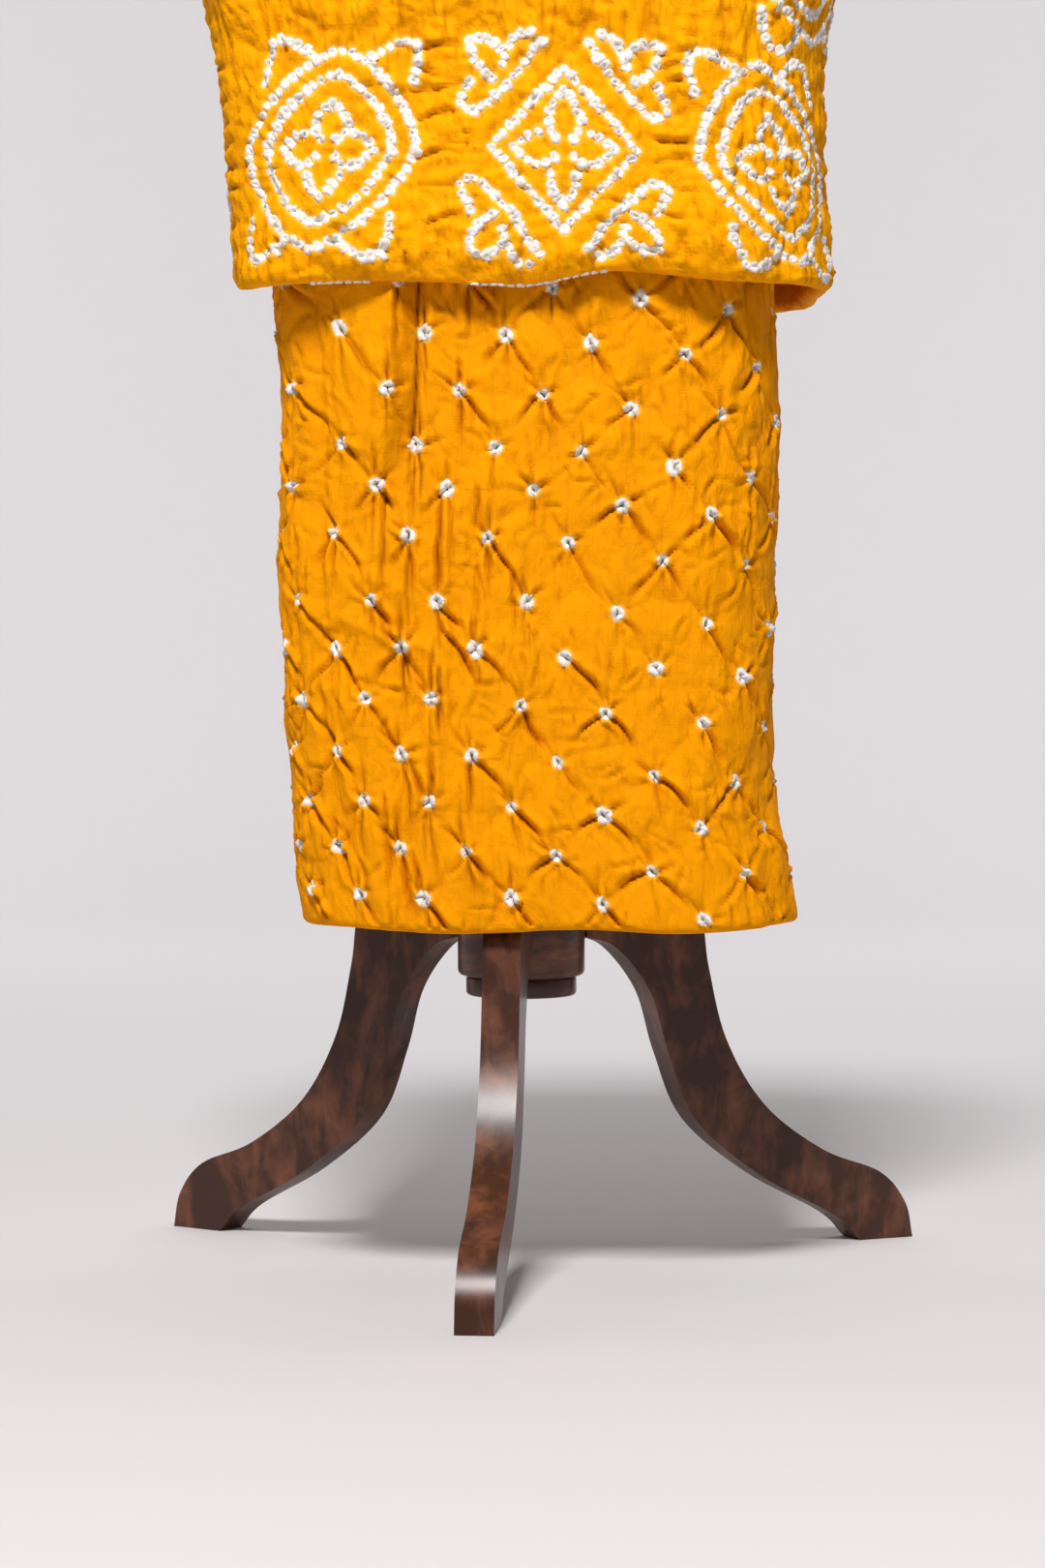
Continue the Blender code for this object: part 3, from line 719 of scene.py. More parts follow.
    def build(self, sections, corners, lift):
        """Work out where every point of the cloth lies, and its outward direction."""
        shares = self.place / self.length
        half_width, half_depth, centre = table_at(sections, self.height)
        points = np.zeros((*self.relief.shape, 3))
        for row in range(len(self.height)):
            x, y, out_x, out_y, _ = walk_round(
                shares, half_width[row], half_depth[row], centre[row], corners)
            off = self.relief[row] - self.inset[row]
            points[row, :, 0] = x + off * out_x + AXIS.x
            points[row, :, 1] = y + off * out_y + AXIS.y
            points[row, :, 2] = self.height[row] + lift(self.place, self.height[row])
        self.points = points
        around = np.roll(points, -1, axis=1) - np.roll(points, 1, axis=1)
        along = np.gradient(points, axis=0)
        normal = np.cross(along, around)
        self.normals = normal / np.maximum(np.linalg.norm(normal, axis=2, keepdims=True), 1e-12)

    def at(self, distance, down):
        """Points on the cloth and outward directions, at these distances round and down the cloth."""
        wrapped = (distance - self.place[0]) % self.length + self.place[0]
        places = np.append(self.place, self.place[0] + self.length)
        c0 = np.clip(np.searchsorted(places, wrapped, side="right") - 1, 0, len(self.place) - 1)
        fc = ((wrapped - places[c0]) / (places[c0 + 1] - places[c0]))[..., None]
        c1 = (c0 + 1) % len(self.place)
        r0 = np.clip(np.searchsorted(self.down, down, side="right") - 1, 0, len(self.down) - 2)
        fr = ((down - self.down[r0]) / (self.down[r0 + 1] - self.down[r0]))[..., None]
        found = []
        for grid in (self.points, self.normals):
            low = grid[r0, c0] * (1 - fc) + grid[r0, c1] * fc
            high = grid[r0 + 1, c0] * (1 - fc) + grid[r0 + 1, c1] * fc
            found.append(low * (1 - fr) + high * fr)
        found[1] /= np.maximum(np.linalg.norm(found[1], axis=-1, keepdims=True), 1e-9)
        return found

    def down_at(self, height):
        """How far down the cloth a height on the wall lies."""
        wall = np.array(self.wall)
        return np.interp(-np.asarray(height), -self.height[wall], self.down[wall])

    def mesh(self, name):
        """The sheet as one mesh, with its cloth UV in metres, the gap to the nearest tie and the strength of
        the shade painted in its creases.
        """
        row, column, after, faces = tube_faces(*self.relief.shape)
        right = np.where(after == 0, self.place[0] + self.length, self.place[after])
        left = self.place[column]
        top, bottom = self.down[row], self.down[row + 1]
        uv = np.stack([np.stack([left, -top], -1), np.stack([left, -bottom], -1),
                       np.stack([right, -bottom], -1), np.stack([right, -top], -1)], axis=-2)
        made = mesh_from_arrays(name, self.points.reshape(-1, 3), faces)
        layer = made.data.uv_layers.new(name="cloth")
        layer.data.foreach_set("uv", uv.reshape(-1).astype(np.float32))
        point_values(made, "tie_gap", self.gap)
        point_values(made, "pinch", self.pinch)
        return made


def tube_faces(rows, columns):
    """The quads between the rows of a tube's points: each one's row, its column and the one after it, and
    its corners."""
    row, column = np.meshgrid(np.arange(rows - 1), np.arange(columns), indexing="ij")
    after = (column + 1) % columns
    corners = (row * columns + column, (row + 1) * columns + column,
               (row + 1) * columns + after, row * columns + after)
    return row, column, after, np.stack(corners, axis=-1).reshape(-1, 4)


def point_values(piece, name, values):
    """Keep a number for each point of a piece, for its material."""
    layer = piece.data.attributes.new(name, "FLOAT", "POINT")
    layer.data.foreach_set("value", values.reshape(-1).astype(np.float32))


def mesh_from_arrays(name, points, faces):
    """A smooth-shaded mesh of quads or triangles, linked to the scene."""
    mesh = bpy.data.meshes.new(name)
    sides = faces.shape[1]
    mesh.vertices.add(len(points))
    mesh.vertices.foreach_set("co", np.ascontiguousarray(points, np.float32).reshape(-1))
    mesh.loops.add(faces.size)
    mesh.loops.foreach_set("vertex_index", np.ascontiguousarray(faces, np.int32).reshape(-1))
    mesh.polygons.add(len(faces))
    mesh.polygons.foreach_set("loop_start", np.arange(0, faces.size, sides, dtype=np.int32))
    mesh.update(calc_edges=True)
    mesh.validate()
    mesh.shade_smooth()
    made = bpy.data.objects.new(name, mesh)
    bpy.context.collection.objects.link(made)
    return made


def knots_mesh(name, sheet, ties, sides, rings, seed):
    """Every tied dot as a small wrinkled rosette on the sheet, joined in one mesh. Each tie is a
    distance round, a distance down the cloth and a radius; each ring a share of it and a rise."""
    rng = np.random.default_rng(seed)
    count = len(ties)
    place = np.array(ties)
    angle = np.arange(sides) * TAU / sides
    shares = np.array([ring[0] for ring in rings])
    rises = np.array([ring[1] for ring in rings])
    spin = rng.uniform(0, TAU, (count, 1, 1))
    turn = angle[None, None, :] + spin
    out = place[:, 2][:, None, None] * shares[None, :, None]
    ragged = 1 + OUTLINE_UNEVEN * rng.uniform(-1, 1, (count, 1, sides))
    ragged = ragged + RING_UNEVEN * rng.uniform(-1, 1, (count, len(rings), sides))
    squash = OVAL * rng.uniform(-1, 1, (count, 1, 1))
    squash = 1 + squash * np.cos(2 * (turn - rng.uniform(0, TAU, (count, 1, 1))))
    out = out * ragged * squash
    pinch = 1 + WRINKLE_UNEVEN * rng.uniform(-1, 1, (count, len(rings), sides))
    rise = rises[None, :, None] * pinch * (place[:, 2] / place[:, 2].max())[:, None, None]
    across = place[:, 0][:, None, None] + out * np.cos(turn)
    down = place[:, 1][:, None, None] - out * np.sin(turn)
    points, normals = sheet.at(across, down)
    shell = points + normals * rise[..., None]
    centre, centre_normal = sheet.at(place[:, 0], place[:, 1])
    tip = centre + centre_normal * (0.72 * rises[0] * place[:, 2] / place[:, 2].max())[:, None]
    per = sides * len(rings)
    vertices = np.concatenate([shell.reshape(-1, 3), tip])
    faces = []
    base = np.arange(count)[:, None] * per
    side = np.arange(sides)[None, :]
    after = (side + 1) % sides
    for ring in range(len(rings) - 1):
        a = base + ring * sides + side
        b = base + ring * sides + after
        c = base + (ring + 1) * sides + after
        d = base + (ring + 1) * sides + side
        faces.append(np.stack([a, d, c], -1).reshape(-1, 3))
        faces.append(np.stack([a, c, b], -1).reshape(-1, 3))
    hub = (count * per + np.arange(count))[:, None] + 0 * side
    faces.append(np.stack([hub, base + side, base + after], -1).reshape(-1, 3))
    made = mesh_from_arrays(name, vertices, np.concatenate(faces))
    knot = np.zeros((count, len(rings), sides))
    knot[:, 0, :] = 0.55
    point_values(made, "knot", np.concatenate([knot.reshape(-1), np.ones(count)]))
    return made


def spaced_columns(length, front, fine, coarse):
    """Column places round a tube from -half to half: fine within front of the centre, coarse behind."""
    places = [0.0]
    while places[-1] < length / 2:
        blend = min(1.0, max(0.0, (places[-1] - front) / 0.05))
        places.append(places[-1] + fine + (coarse - fine) * blend)
    right = np.array(places[1:]) * (length / 2) / places[-1]
    left = -right[:-1][::-1]
    return np.concatenate([left, [0.0], right])


def hem_rows(hem, radius, up, back_to):
    """Rows round the rolled hem and up inside, where the layer nears the wall again: height, inset, and
    whether it is the outer wall."""
    rows = []
    for step in range(1, 11):
        angle = math.pi * step / 10
        rows.append((hem + radius - radius * math.sin(angle), radius * (1 - math.cos(angle)), False))
    for step in range(1, 7):
        share = step / 6
        near = share * share * (3 - 2 * share)
        rows.append((hem + radius + up * share, 2 * radius + (back_to - 2 * radius) * near, False))
    return rows


def heights_between(high, low, step):
    """Levels from high down to low, about step apart."""
    count = max(1, round((high - low) / step))
    return [high + (low - high) * i / count for i in range(count + 1)]


def column_places(height):
    """The listed columns of the lower tier's dots and their distances round at a height, the first again at
    the end."""
    columns, foot, top = (np.array(values) for values in zip(*DOT_COLUMNS))
    share = float(np.clip((height - COLUMNS_FOOT) / (COLUMNS_TOP - COLUMNS_FOOT), 0, 1.15)) ** COLUMNS_EASE
    places = foot + (top - foot) * share - table_at(LOWER_SECTIONS, height)[2]
    return np.append(columns, COLUMNS_ROUND), np.append(places, places[0] + LOWER_LENGTH)


def column_at(distances, heights):
    """Which column, as a number with its share, lies at these distances round, a row for each height."""
    found = []
    for height in heights:
        columns, places = column_places(height)
        found.append(np.interp((distances - places[0]) % LOWER_LENGTH + places[0], places, columns))
    return np.array(found)


def row_drop(distance):
    """How far a row of dots has dropped at these distances round."""
    wanted = (np.asarray(distance) - ROW_DROP[0][0]) % LOWER_LENGTH + ROW_DROP[0][0]
    return table_at(ROW_DROP, wanted)[0]


def section_length(sections, corners, height):
    """Length round a tier's plain section at a height."""
    half_width, half_depth, centre = (float(value[0]) for value in table_at(sections, [height]))
    return walk_round(np.zeros(1), half_width, half_depth, centre, corners)[4]


LOWER_LENGTH = section_length(LOWER_SECTIONS, LOWER_CORNERS, 0.50)
UPPER_LENGTH = section_length(UPPER_SECTIONS, UPPER_CORNERS, 0.80)


def draw_in(sheet):
    """The corners draw in a little behind the plain section."""
    share = sheet.place / sheet.length
    sheet.relief += (CORNER_DRAW_IN * (np.cos(2 * TAU * share) - 1) / 2)[None, :]


def crumple(sheet, cell, amount, seed, stretch, mask=1.0, pinch=0.0):
    """Soft ridges all over that wander, cell across and stretch times as long. A negative amount makes
    them valleys; pinch is how strongly shade is painted along their bottoms."""
    span = sheet.down[-1]
    shape = (max(3, round(span / (cell * stretch))), round(sheet.length / cell))
    field = uneven(shape, seed)
    wander = [uneven((shape[0] // 2 + 3, shape[1] // 2), seed + 101 + step) for step in range(2)]
    rows = (sheet.down / span)[:, None] + 0 * sheet.place[None, :]
    columns = (sheet.place / sheet.length)[None, :] + 0 * rows
    off = [each(rows, columns) for each in wander]
    level = np.abs(field(rows + 0.8 * off[0] / shape[0], columns + 0.8 * off[1] / shape[1]))
    sheet.relief += amount * (1 - 2 * level) * mask
    # Painted shade along the valleys' bottom lines
    if pinch:
        sheet.pinch = np.maximum(sheet.pinch, pinch * mask * np.clip(1 - level / 0.10, 0, 1))


def lower_ties(settings):
    """The tied dots of the lower tier: distance round, height, radius, column and row."""
    rng = np.random.default_rng(settings.seed)
    ties = {}
    for row in range(-1, ROWS + 1):
        for step in range(COLUMNS_ROUND):
            column = step + (0.5 if row % 2 == 0 else 0.0)
            level = FIRST_ROW - row * ROW_PITCH
            columns, places = column_places(level)
            place = float(np.interp(column % COLUMNS_ROUND, columns, places))
            height = level - float(row_drop(place)) + ROW_LIFTS[max(row, 0)] * MM
            height += rng.uniform(-0.0018, 0.0018)
            place += rng.uniform(-0.0024, 0.0024)
            radius = settings.dot_radius * rng.uniform(0.76, 1.20)
            ties[(row, column)] = (place, height, radius)
    return ties


def lower_puffs(sheet, settings):
    """The cloth between the dots puffs up, parted by two families of creases."""
    heights = sheet.height[:, None]
    places = sheet.place[None, :]
    column = column_at(sheet.place, sheet.height)
    lifts = MM * np.interp((FIRST_ROW - heights) / ROW_PITCH, np.arange(len(ROW_LIFTS)), ROW_LIFTS)
    row = (FIRST_ROW + lifts - row_drop(places) - heights) / ROW_PITCH
    down_right = column - row / 2 + 0.5
    down_left = column + row / 2 + 0.5
    puff = 0.35 + 0.65 * np.abs(np.sin(math.pi * down_left)) ** 0.7
    puff = np.abs(np.sin(math.pi * down_right)) ** 0.55 * puff
    shows = np.clip((0.745 - heights) / 0.03, 0, 1)
    sheet.relief += settings.puff * (puff - 0.6) * shows


def lower_creases(sheet, ties, settings):
    """Creases that run from each dot: to the next one down to the right, and short ones all round."""
    rng = np.random.default_rng(settings.seed + 1)
    depth = settings.crease_depth
    # Short creases round a dot: angle in degrees, its spread, length, share of the depth
    short = ((128, 14, 0.026, 0.62), (26, 16, 0.020, 0.60), (-90, 5, 0.034, 0.45),
             (90, 6, 0.026, 0.40), (205, 18, 0.016, 0.35), (-62, 10, 0.014, 0.45))
    for (row, column), (place, height, _) in ties.items():
        gathered = math.exp(-((float(round_distance(place, sheet.length)) + 0.075) / 0.05) ** 2)
        right = ties.get((row + 1, (column + 0.5) % COLUMNS_ROUND))
        left = ties.get((row + 1, (column - 0.5) % COLUMNS_ROUND))
        for other, chance, deep in ((right, 0.90, 0.95), (left, 0.68, 0.66)):
            if other is None or rng.uniform() > chance * (1 - 0.5 * gathered):
                continue
            across = float(round_distance(other[0] - place, sheet.length))
            up = other[1] - height
            run = math.hypot(across, up)
            reach = rng.uniform(0.50, 1.02) * run
            degrees = math.degrees(math.atan2(up, across)) + rng.uniform(-5, 5)
            sheet.crease(place, height, degrees, reach,
                         rng.uniform(0.0016, 0.0024), depth * deep * rng.uniform(0.40, 1.2),
                         rng.uniform(-0.6, 0.6), deep_to=0.45)
        for degrees, spread, run, deep in short:
            upright = gathered if abs(degrees) == 90 else 0.0
            sheet.crease(place, height, degrees + rng.uniform(-spread, spread),
                         run * rng.uniform(0.6, 1.3) * (1 + 0.8 * upright),
                         rng.uniform(0.0016, 0.0024),
                         depth * deep * rng.uniform(0.4, 1.2) * (1 + upright),
                         rng.uniform(-0.5, 0.5), deep_to=0.2)
        for _ in range(6):
            sheet.crease(place, height, rng.uniform(0, 360), rng.uniform(0.007, 0.013), 0.0016,
                         depth * rng.uniform(0.15, 0.5), rng.uniform(-0.4, 0.4), deep_to=0.1)
        sheet.stamp(place, height, 0.03, lambda across, up: -0.0016 * np.exp(
            -(across ** 2 + up ** 2) / 0.0085 ** 2))


def stray_creases(sheet, seed, count, low, high, upright):
    """Short creases anywhere on the wall between two heights; upright is the share that runs down it."""
    rng = np.random.default_rng(seed)
    for _ in range(count):
        degrees = rng.normal(-90, 12) if rng.uniform() < upright else rng.uniform(-180, 0)
        sheet.crease(rng.uniform(-sheet.length / 2, sheet.length / 2), rng.uniform(low, high), degrees,
                     rng.uniform(0.010, 0.032), rng.uniform(0.0016, 0.0023), rng.uniform(0.0004, 0.0019),
                     rng.uniform(-0.9, 0.9), deep_to=0.25)


def finish_piece(piece, material, slot, *nodes):
    """Give a piece its material and its body, and hide the frame's nodes that it stands for. slot is not
    used.
    """
    piece.data.materials.clear()
    piece.data.materials.append(material)
    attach(piece, "root")
    if nodes:
        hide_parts(*nodes)


def hem_wave(wave, length, hem, reach):
    """How the hem's wave lifts the cloth, dying away over this reach above the hem."""

    def lift(place, height):
        ease = min(1.0, max(0.0, 1 - (height - hem) / reach))
        return table_at(wave, round_distance(place, length))[0] * ease

    return lift


class BANDHANI_OT_lower_cloth(Operator):
    """Make the dotted lower tier and its tied dots"""

    bl_idname = "bandhani.lower_cloth"
    bl_label = "Lower tier"

    def execute(self, context):
        settings = context.scene.bandhani_cloth
        columns = spaced_columns(LOWER_LENGTH, *LOWER_GRID)
        rows = [(height, 0.0, True) for height in heights_between(LOWER_TOP, LOWER_SHOWS_TO, 0.02)[:-1]]
        rows += [(height, 0.0, True)
                 for height in heights_between(LOWER_SHOWS_TO, LOWER_HEM + LOWER_ROLL, 0.00212)]
        rows += hem_rows(LOWER_HEM, LOWER_ROLL, LOWER_TURN_UP, TURN_UP_INSET)
        sheet = Sheet(LOWER_LENGTH, columns, rows)
        ties = lower_ties(settings)
        lower_puffs(sheet, settings)
        sheet.folds(LOWER_FOLDS)
        for pleat in LOWER_PLEATS:
            sheet.pleat(*pleat)
        for crease in LOWER_CREASES:
            sheet.crease(*crease, deep_to=0.5)
        lower_creases(sheet, ties, settings)
        stray_creases(sheet, settings.seed + 8, 1700, LOWER_HEM + 0.01, LOWER_SHOWS_TO, 0.45)
        crumple(sheet, 0.036, 0.0022, settings.seed + 2, 1.4)
        # The 18 mm crumple's valleys get painted shade (the last number)
        crumple(sheet, 0.018, -0.0010, settings.seed + 3, 1.5, 1.0, 0.20)
        crumple(sheet, 0.0080, 0.00045, settings.seed + 4, 1.6)
        sheet.relief *= np.clip((0.765 - sheet.height) / 0.035, 0, 1)[:, None]
        sheet.relief *= 1 - 0.35 * np.clip((np.abs(sheet.place) - 0.165) / 0.03, 0, 1)[None, :]
        draw_in(sheet)
        shown = [tie for tie in ties.values() if LOWER_HEM + 0.004 < tie[1] < LOWER_SHOWS_TO]
        for place, height, radius in shown:
            sheet.tie(place, height, 0.86 * radius)
        sheet.build(LOWER_SECTIONS, LOWER_CORNERS, hem_wave(LOWER_WAVE, LOWER_LENGTH, LOWER_HEM, 0.15))
        cloth = sheet.mesh("lower_cloth_sheet")
        # 763700 is the painted shade colour of the creases and pleat facets
        dyed = cotton_material("plain_woven_cotton_tied_and_dipped", settings.lower_dye, "DC8400", "763700",
                               settings.resist, "FFCE55")
        finish_piece(cloth, dyed, "cloth_lower", "cloth_lower")
        knots_at = [(place, float(sheet.down_at(height)), radius) for place, height, radius in shown]
        knots = knots_mesh("lower_tied_dots", sheet, knots_at, *LOWER_KNOT, settings.seed + 5)
        undyed = tie_material("undyed_cotton_drawn_up_by_ties", settings.resist, "A9744A")
        finish_piece(knots, undyed, "cloth_lower")
        return {"FINISHED"}


def string_of_ties(points, pitch, painted_shade=False):
    """Places spaced evenly along a line of points, all in metres."""
    line = np.array(points, dtype=float)
    if painted_shade:
        line = np.vstack([line, line[:1]])
    runs = np.hypot(*np.diff(line, axis=0).T)
    total = runs.sum()
    count = max(2, round(total / pitch))
    stops = np.arange(count + (0 if painted_shade else 1)) * total / count
    along = np.concatenate([[0.0], np.cumsum(runs)])
    return np.stack([np.interp(stops, along, line[:, 0]), np.interp(stops, along, line[:, 1])], axis=1)


def petal(tip, base, half_width, direction, from_share):
    """Both sides of a pointed petal that stands out from the motif's middle, in millimetres."""
    shares = np.linspace(from_share, 1.0, 14)
    out = base + (tip - base) * shares
    side = half_width * np.sin(math.pi * shares ** 0.8) ** 0.9
    cos, sin = math.cos(math.radians(direction)), math.sin(math.radians(direction))
    sides = []
    for hand in (-1, 1):
        sides.append(np.stack([out * cos - hand * side * sin, out * sin + hand * side * cos], axis=1))
    return sides


def rounded_diamond(half_width, half_height, fullness):
    """A diamond with bowed sides, in millimetres."""
    angle = np.linspace(0, TAU, 73)[:-1]
    x, y = np.cos(angle), np.sin(angle)
    reach = (np.abs(x) ** fullness + np.abs(y) ** fullness) ** (-1 / fullness)
    return np.stack([half_width * x * reach, half_height * y * reach], axis=1)


# Corner leaf of the diamond medallion, from the middle, in millimetres: its long side and two lobes
LEAF_LINES = (
    ((16, 72), (20, 67), (27, 57), (35, 45), (45, 35), (56, 25), (63, 21), (70, 27)),
    ((24, 78), (32, 76), (37, 70), (39, 63), (42, 56)),
    ((43, 66), (48, 71), (56, 73), (64, 71), (63, 64), (60, 56), (55, 50), (48, 46)),
    ((63, 43), (67, 36), (70, 28)),
)
# Corner ear of the ring medallion
EAR_LINE = ((20, 63), (29, 69), (40, 74), (49, 71), (52, 60), (51, 46))


def medallion(outlines, petals, corners, pitch):
    """The dots of a motif, in metres from its middle: closed outlines, petals, and what each corner has."""
    mm_pitch = pitch / MM
    lines = [string_of_ties(outline, mm_pitch, painted_shade=True) for outline in outlines]
    for shape in petals:
        for side in petal(*shape):
            lines.append(string_of_ties(side, mm_pitch))
    for flip_x in (-1, 1):
        for flip_y in (-1, 1):
            for corner in corners:
                lines.append(string_of_ties([(flip_x * x, flip_y * y) for x, y in corner], mm_pitch))
    return np.vstack(lines) * MM


def diamond_medallion(pitch):
    """A diamond round a four-petalled flower, with a leaf at each corner."""
    petals = ((41, 3, 11, 90, 0.1), (34, 3, 11, 0, 0.12), (34, 3, 11, 180, 0.12), (40, 3, 9, 270, 0.25))
    return medallion([((0, 55), (50, 0), (0, -56), (-50, 0))], petals, LEAF_LINES, pitch)


def ring_medallion(pitch):
    """Two bowed diamonds, one in the other, round a four-petalled flower, with an ear at each corner."""
    outlines = (rounded_diamond(60, 67, 1.45), rounded_diamond(44, 50, 1.45))
    petals = [(32, 4, 11, direction, 0.1) for direction in (90, 0, 180, 270)]
    return medallion(outlines, petals, (EAR_LINE,), pitch)


def thinned(places, least):
    """The places with those that fall nearly on an earlier one left out."""
    kept = []
    for place in places:
        if all(math.hypot(place[0] - other[0], place[1] - other[1]) > least for other in kept):
            kept.append(place)
    return kept


def medallion_centres():
    """Where the medallions lie round the upper tier: distance round, and whether it is a ring."""
    ring_left, ring_right = FRONT_RINGS
    centres = [(ring_left, True), (FIRST_DIAMOND, False), (ring_right, True)]
    behind = MEDALLIONS_ROUND - 3
    gap = (UPPER_LENGTH + ring_left - ring_right) / (behind + 1)
    for step in range(1, behind + 1):
        centres.append((ring_right + gap * step, step % 2 == 0))
    return centres


def upper_ties(settings):
    """The dots of all the medallions: distance round, height, radius."""
    rng = np.random.default_rng(settings.seed + 11)
    ties = []
    charts = {True: thinned(ring_medallion(settings.bead_pitch), LEAST_BEAD_GAP),
              False: thinned(diamond_medallion(settings.bead_pitch), LEAST_BEAD_GAP)}
    places = [(centre, MEDALLION_HEIGHT - RIGHT_RING_DROP * (centre == FRONT_RINGS[1]), is_ring)
              for centre, is_ring in medallion_centres()]
    places += [(SECOND_ROW_FIRST + SECOND_ROW_PITCH * step, SECOND_ROW_HEIGHT, True)
               for step in range(SECOND_ROW_COUNT)]
    for centre, level, is_ring in places:
        turn = math.radians(rng.uniform(-4, 4))
        cos, sin = math.cos(turn), math.sin(turn)
        slant = rng.uniform(-0.06, 0.06) - MEDALLION_SLANT * math.sin(TAU * centre / UPPER_LENGTH) * is_ring
        for x, y in charts[is_ring]:
            jog = rng.uniform(-0.0008, 0.0008, 2)
            height = level + x * sin + y * cos + jog[1]
            if height < UPPER_SHOULDER + 0.008:
                ties.append((centre + x * cos + y * (slant - sin) + jog[0], height,
                             settings.bead_radius * rng.uniform(0.82, 1.18)))
    return ties


def upper_creases(sheet, ties, settings):
    """The dots gather the cloth: short creases off each string, level ones between medallions, puckers
    below."""
    rng = np.random.default_rng(settings.seed + 12)
    for place, height, _ in ties:
        sheet.stamp(place, height, 0.02, lambda across, up: -0.0007 * np.exp(
            -(across ** 2 + up ** 2) / 0.0062 ** 2))
        for _ in range(3):
            sheet.crease(place, height, rng.uniform(0, 360), rng.uniform(0.008, 0.015),
                         rng.uniform(0.0015, 0.0021), rng.uniform(0.0006, 0.0018),
                         rng.uniform(-0.5, 0.5), deep_to=0.2)
    centres = sorted(centre for centre, _ in medallion_centres())
    centres.append(centres[0] + UPPER_LENGTH)
    for left, right in zip(centres, centres[1:]):
        middle = (left + right) / 2
        for level in (0.066, 0.053, 0.036, 0.022, 0.004, -0.010, -0.024, -0.048):
            reach = rng.uniform(0.022, 0.038)
            sheet.crease(middle - reach / 2 + rng.uniform(-0.006, 0.006),
                         MEDALLION_HEIGHT + level + rng.uniform(-0.004, 0.004), rng.uniform(-14, 14), reach,
                         rng.uniform(0.0020, 0.0027), rng.uniform(0.0018, 0.0036), rng.uniform(-0.9, 0.9),
                         deep_to=0.6)
    for _ in range(150):
        sheet.crease(rng.uniform(-0.5, 0.5) * UPPER_LENGTH, MEDALLION_HEIGHT - rng.uniform(0.056, 0.072),
                     rng.uniform(-100, -80), rng.uniform(0.010, 0.024), rng.uniform(0.0018, 0.0026),
                     rng.uniform(0.0012, 0.0032), rng.uniform(-0.5, 0.5), deep_to=0.3)


def upper_ribs(sheet, settings):
    """Crinkle down the plain cloth above the medallions, in ribs 8 to 16 mm apart."""
    heights = sheet.height[:, None]
    level = np.clip((heights - (MEDALLION_HEIGHT + 0.030)) / 0.05, 0.25, 1.0)
    level = level * np.clip((UPPER_SHOULDER + 0.004 - heights) / 0.03, 0, 1)
    # The ribs' valleys get painted shade (the last number)
    crumple(sheet, 0.0150, -0.0036, settings.seed + 21, 6.0, level, 0.60)
    crumple(sheet, 0.0082, -0.0017, settings.seed + 22, 8.0, level, 0.48)
    # Puckers in the hem, with painted shade in their valleys, and the front standing off the form and
    # turning under at its foot
    low = np.clip((UPPER_HEM + 0.030 - heights) / 0.018, 0, 1)
    crumple(sheet, 0.013, -0.0022, settings.seed + 23, 2.6, low, 0.40)
    front = np.clip((0.190 - np.abs(sheet.place)) / 0.05, 0, 1)[None, :]
    sheet.relief += 0.004 * front * np.clip((0.800 - heights) / 0.06, 0, 1)
    sheet.relief -= (0.001 + 0.004 * front) * np.clip((UPPER_HEM + 0.024 - heights) / 0.020, 0, 1) ** 2


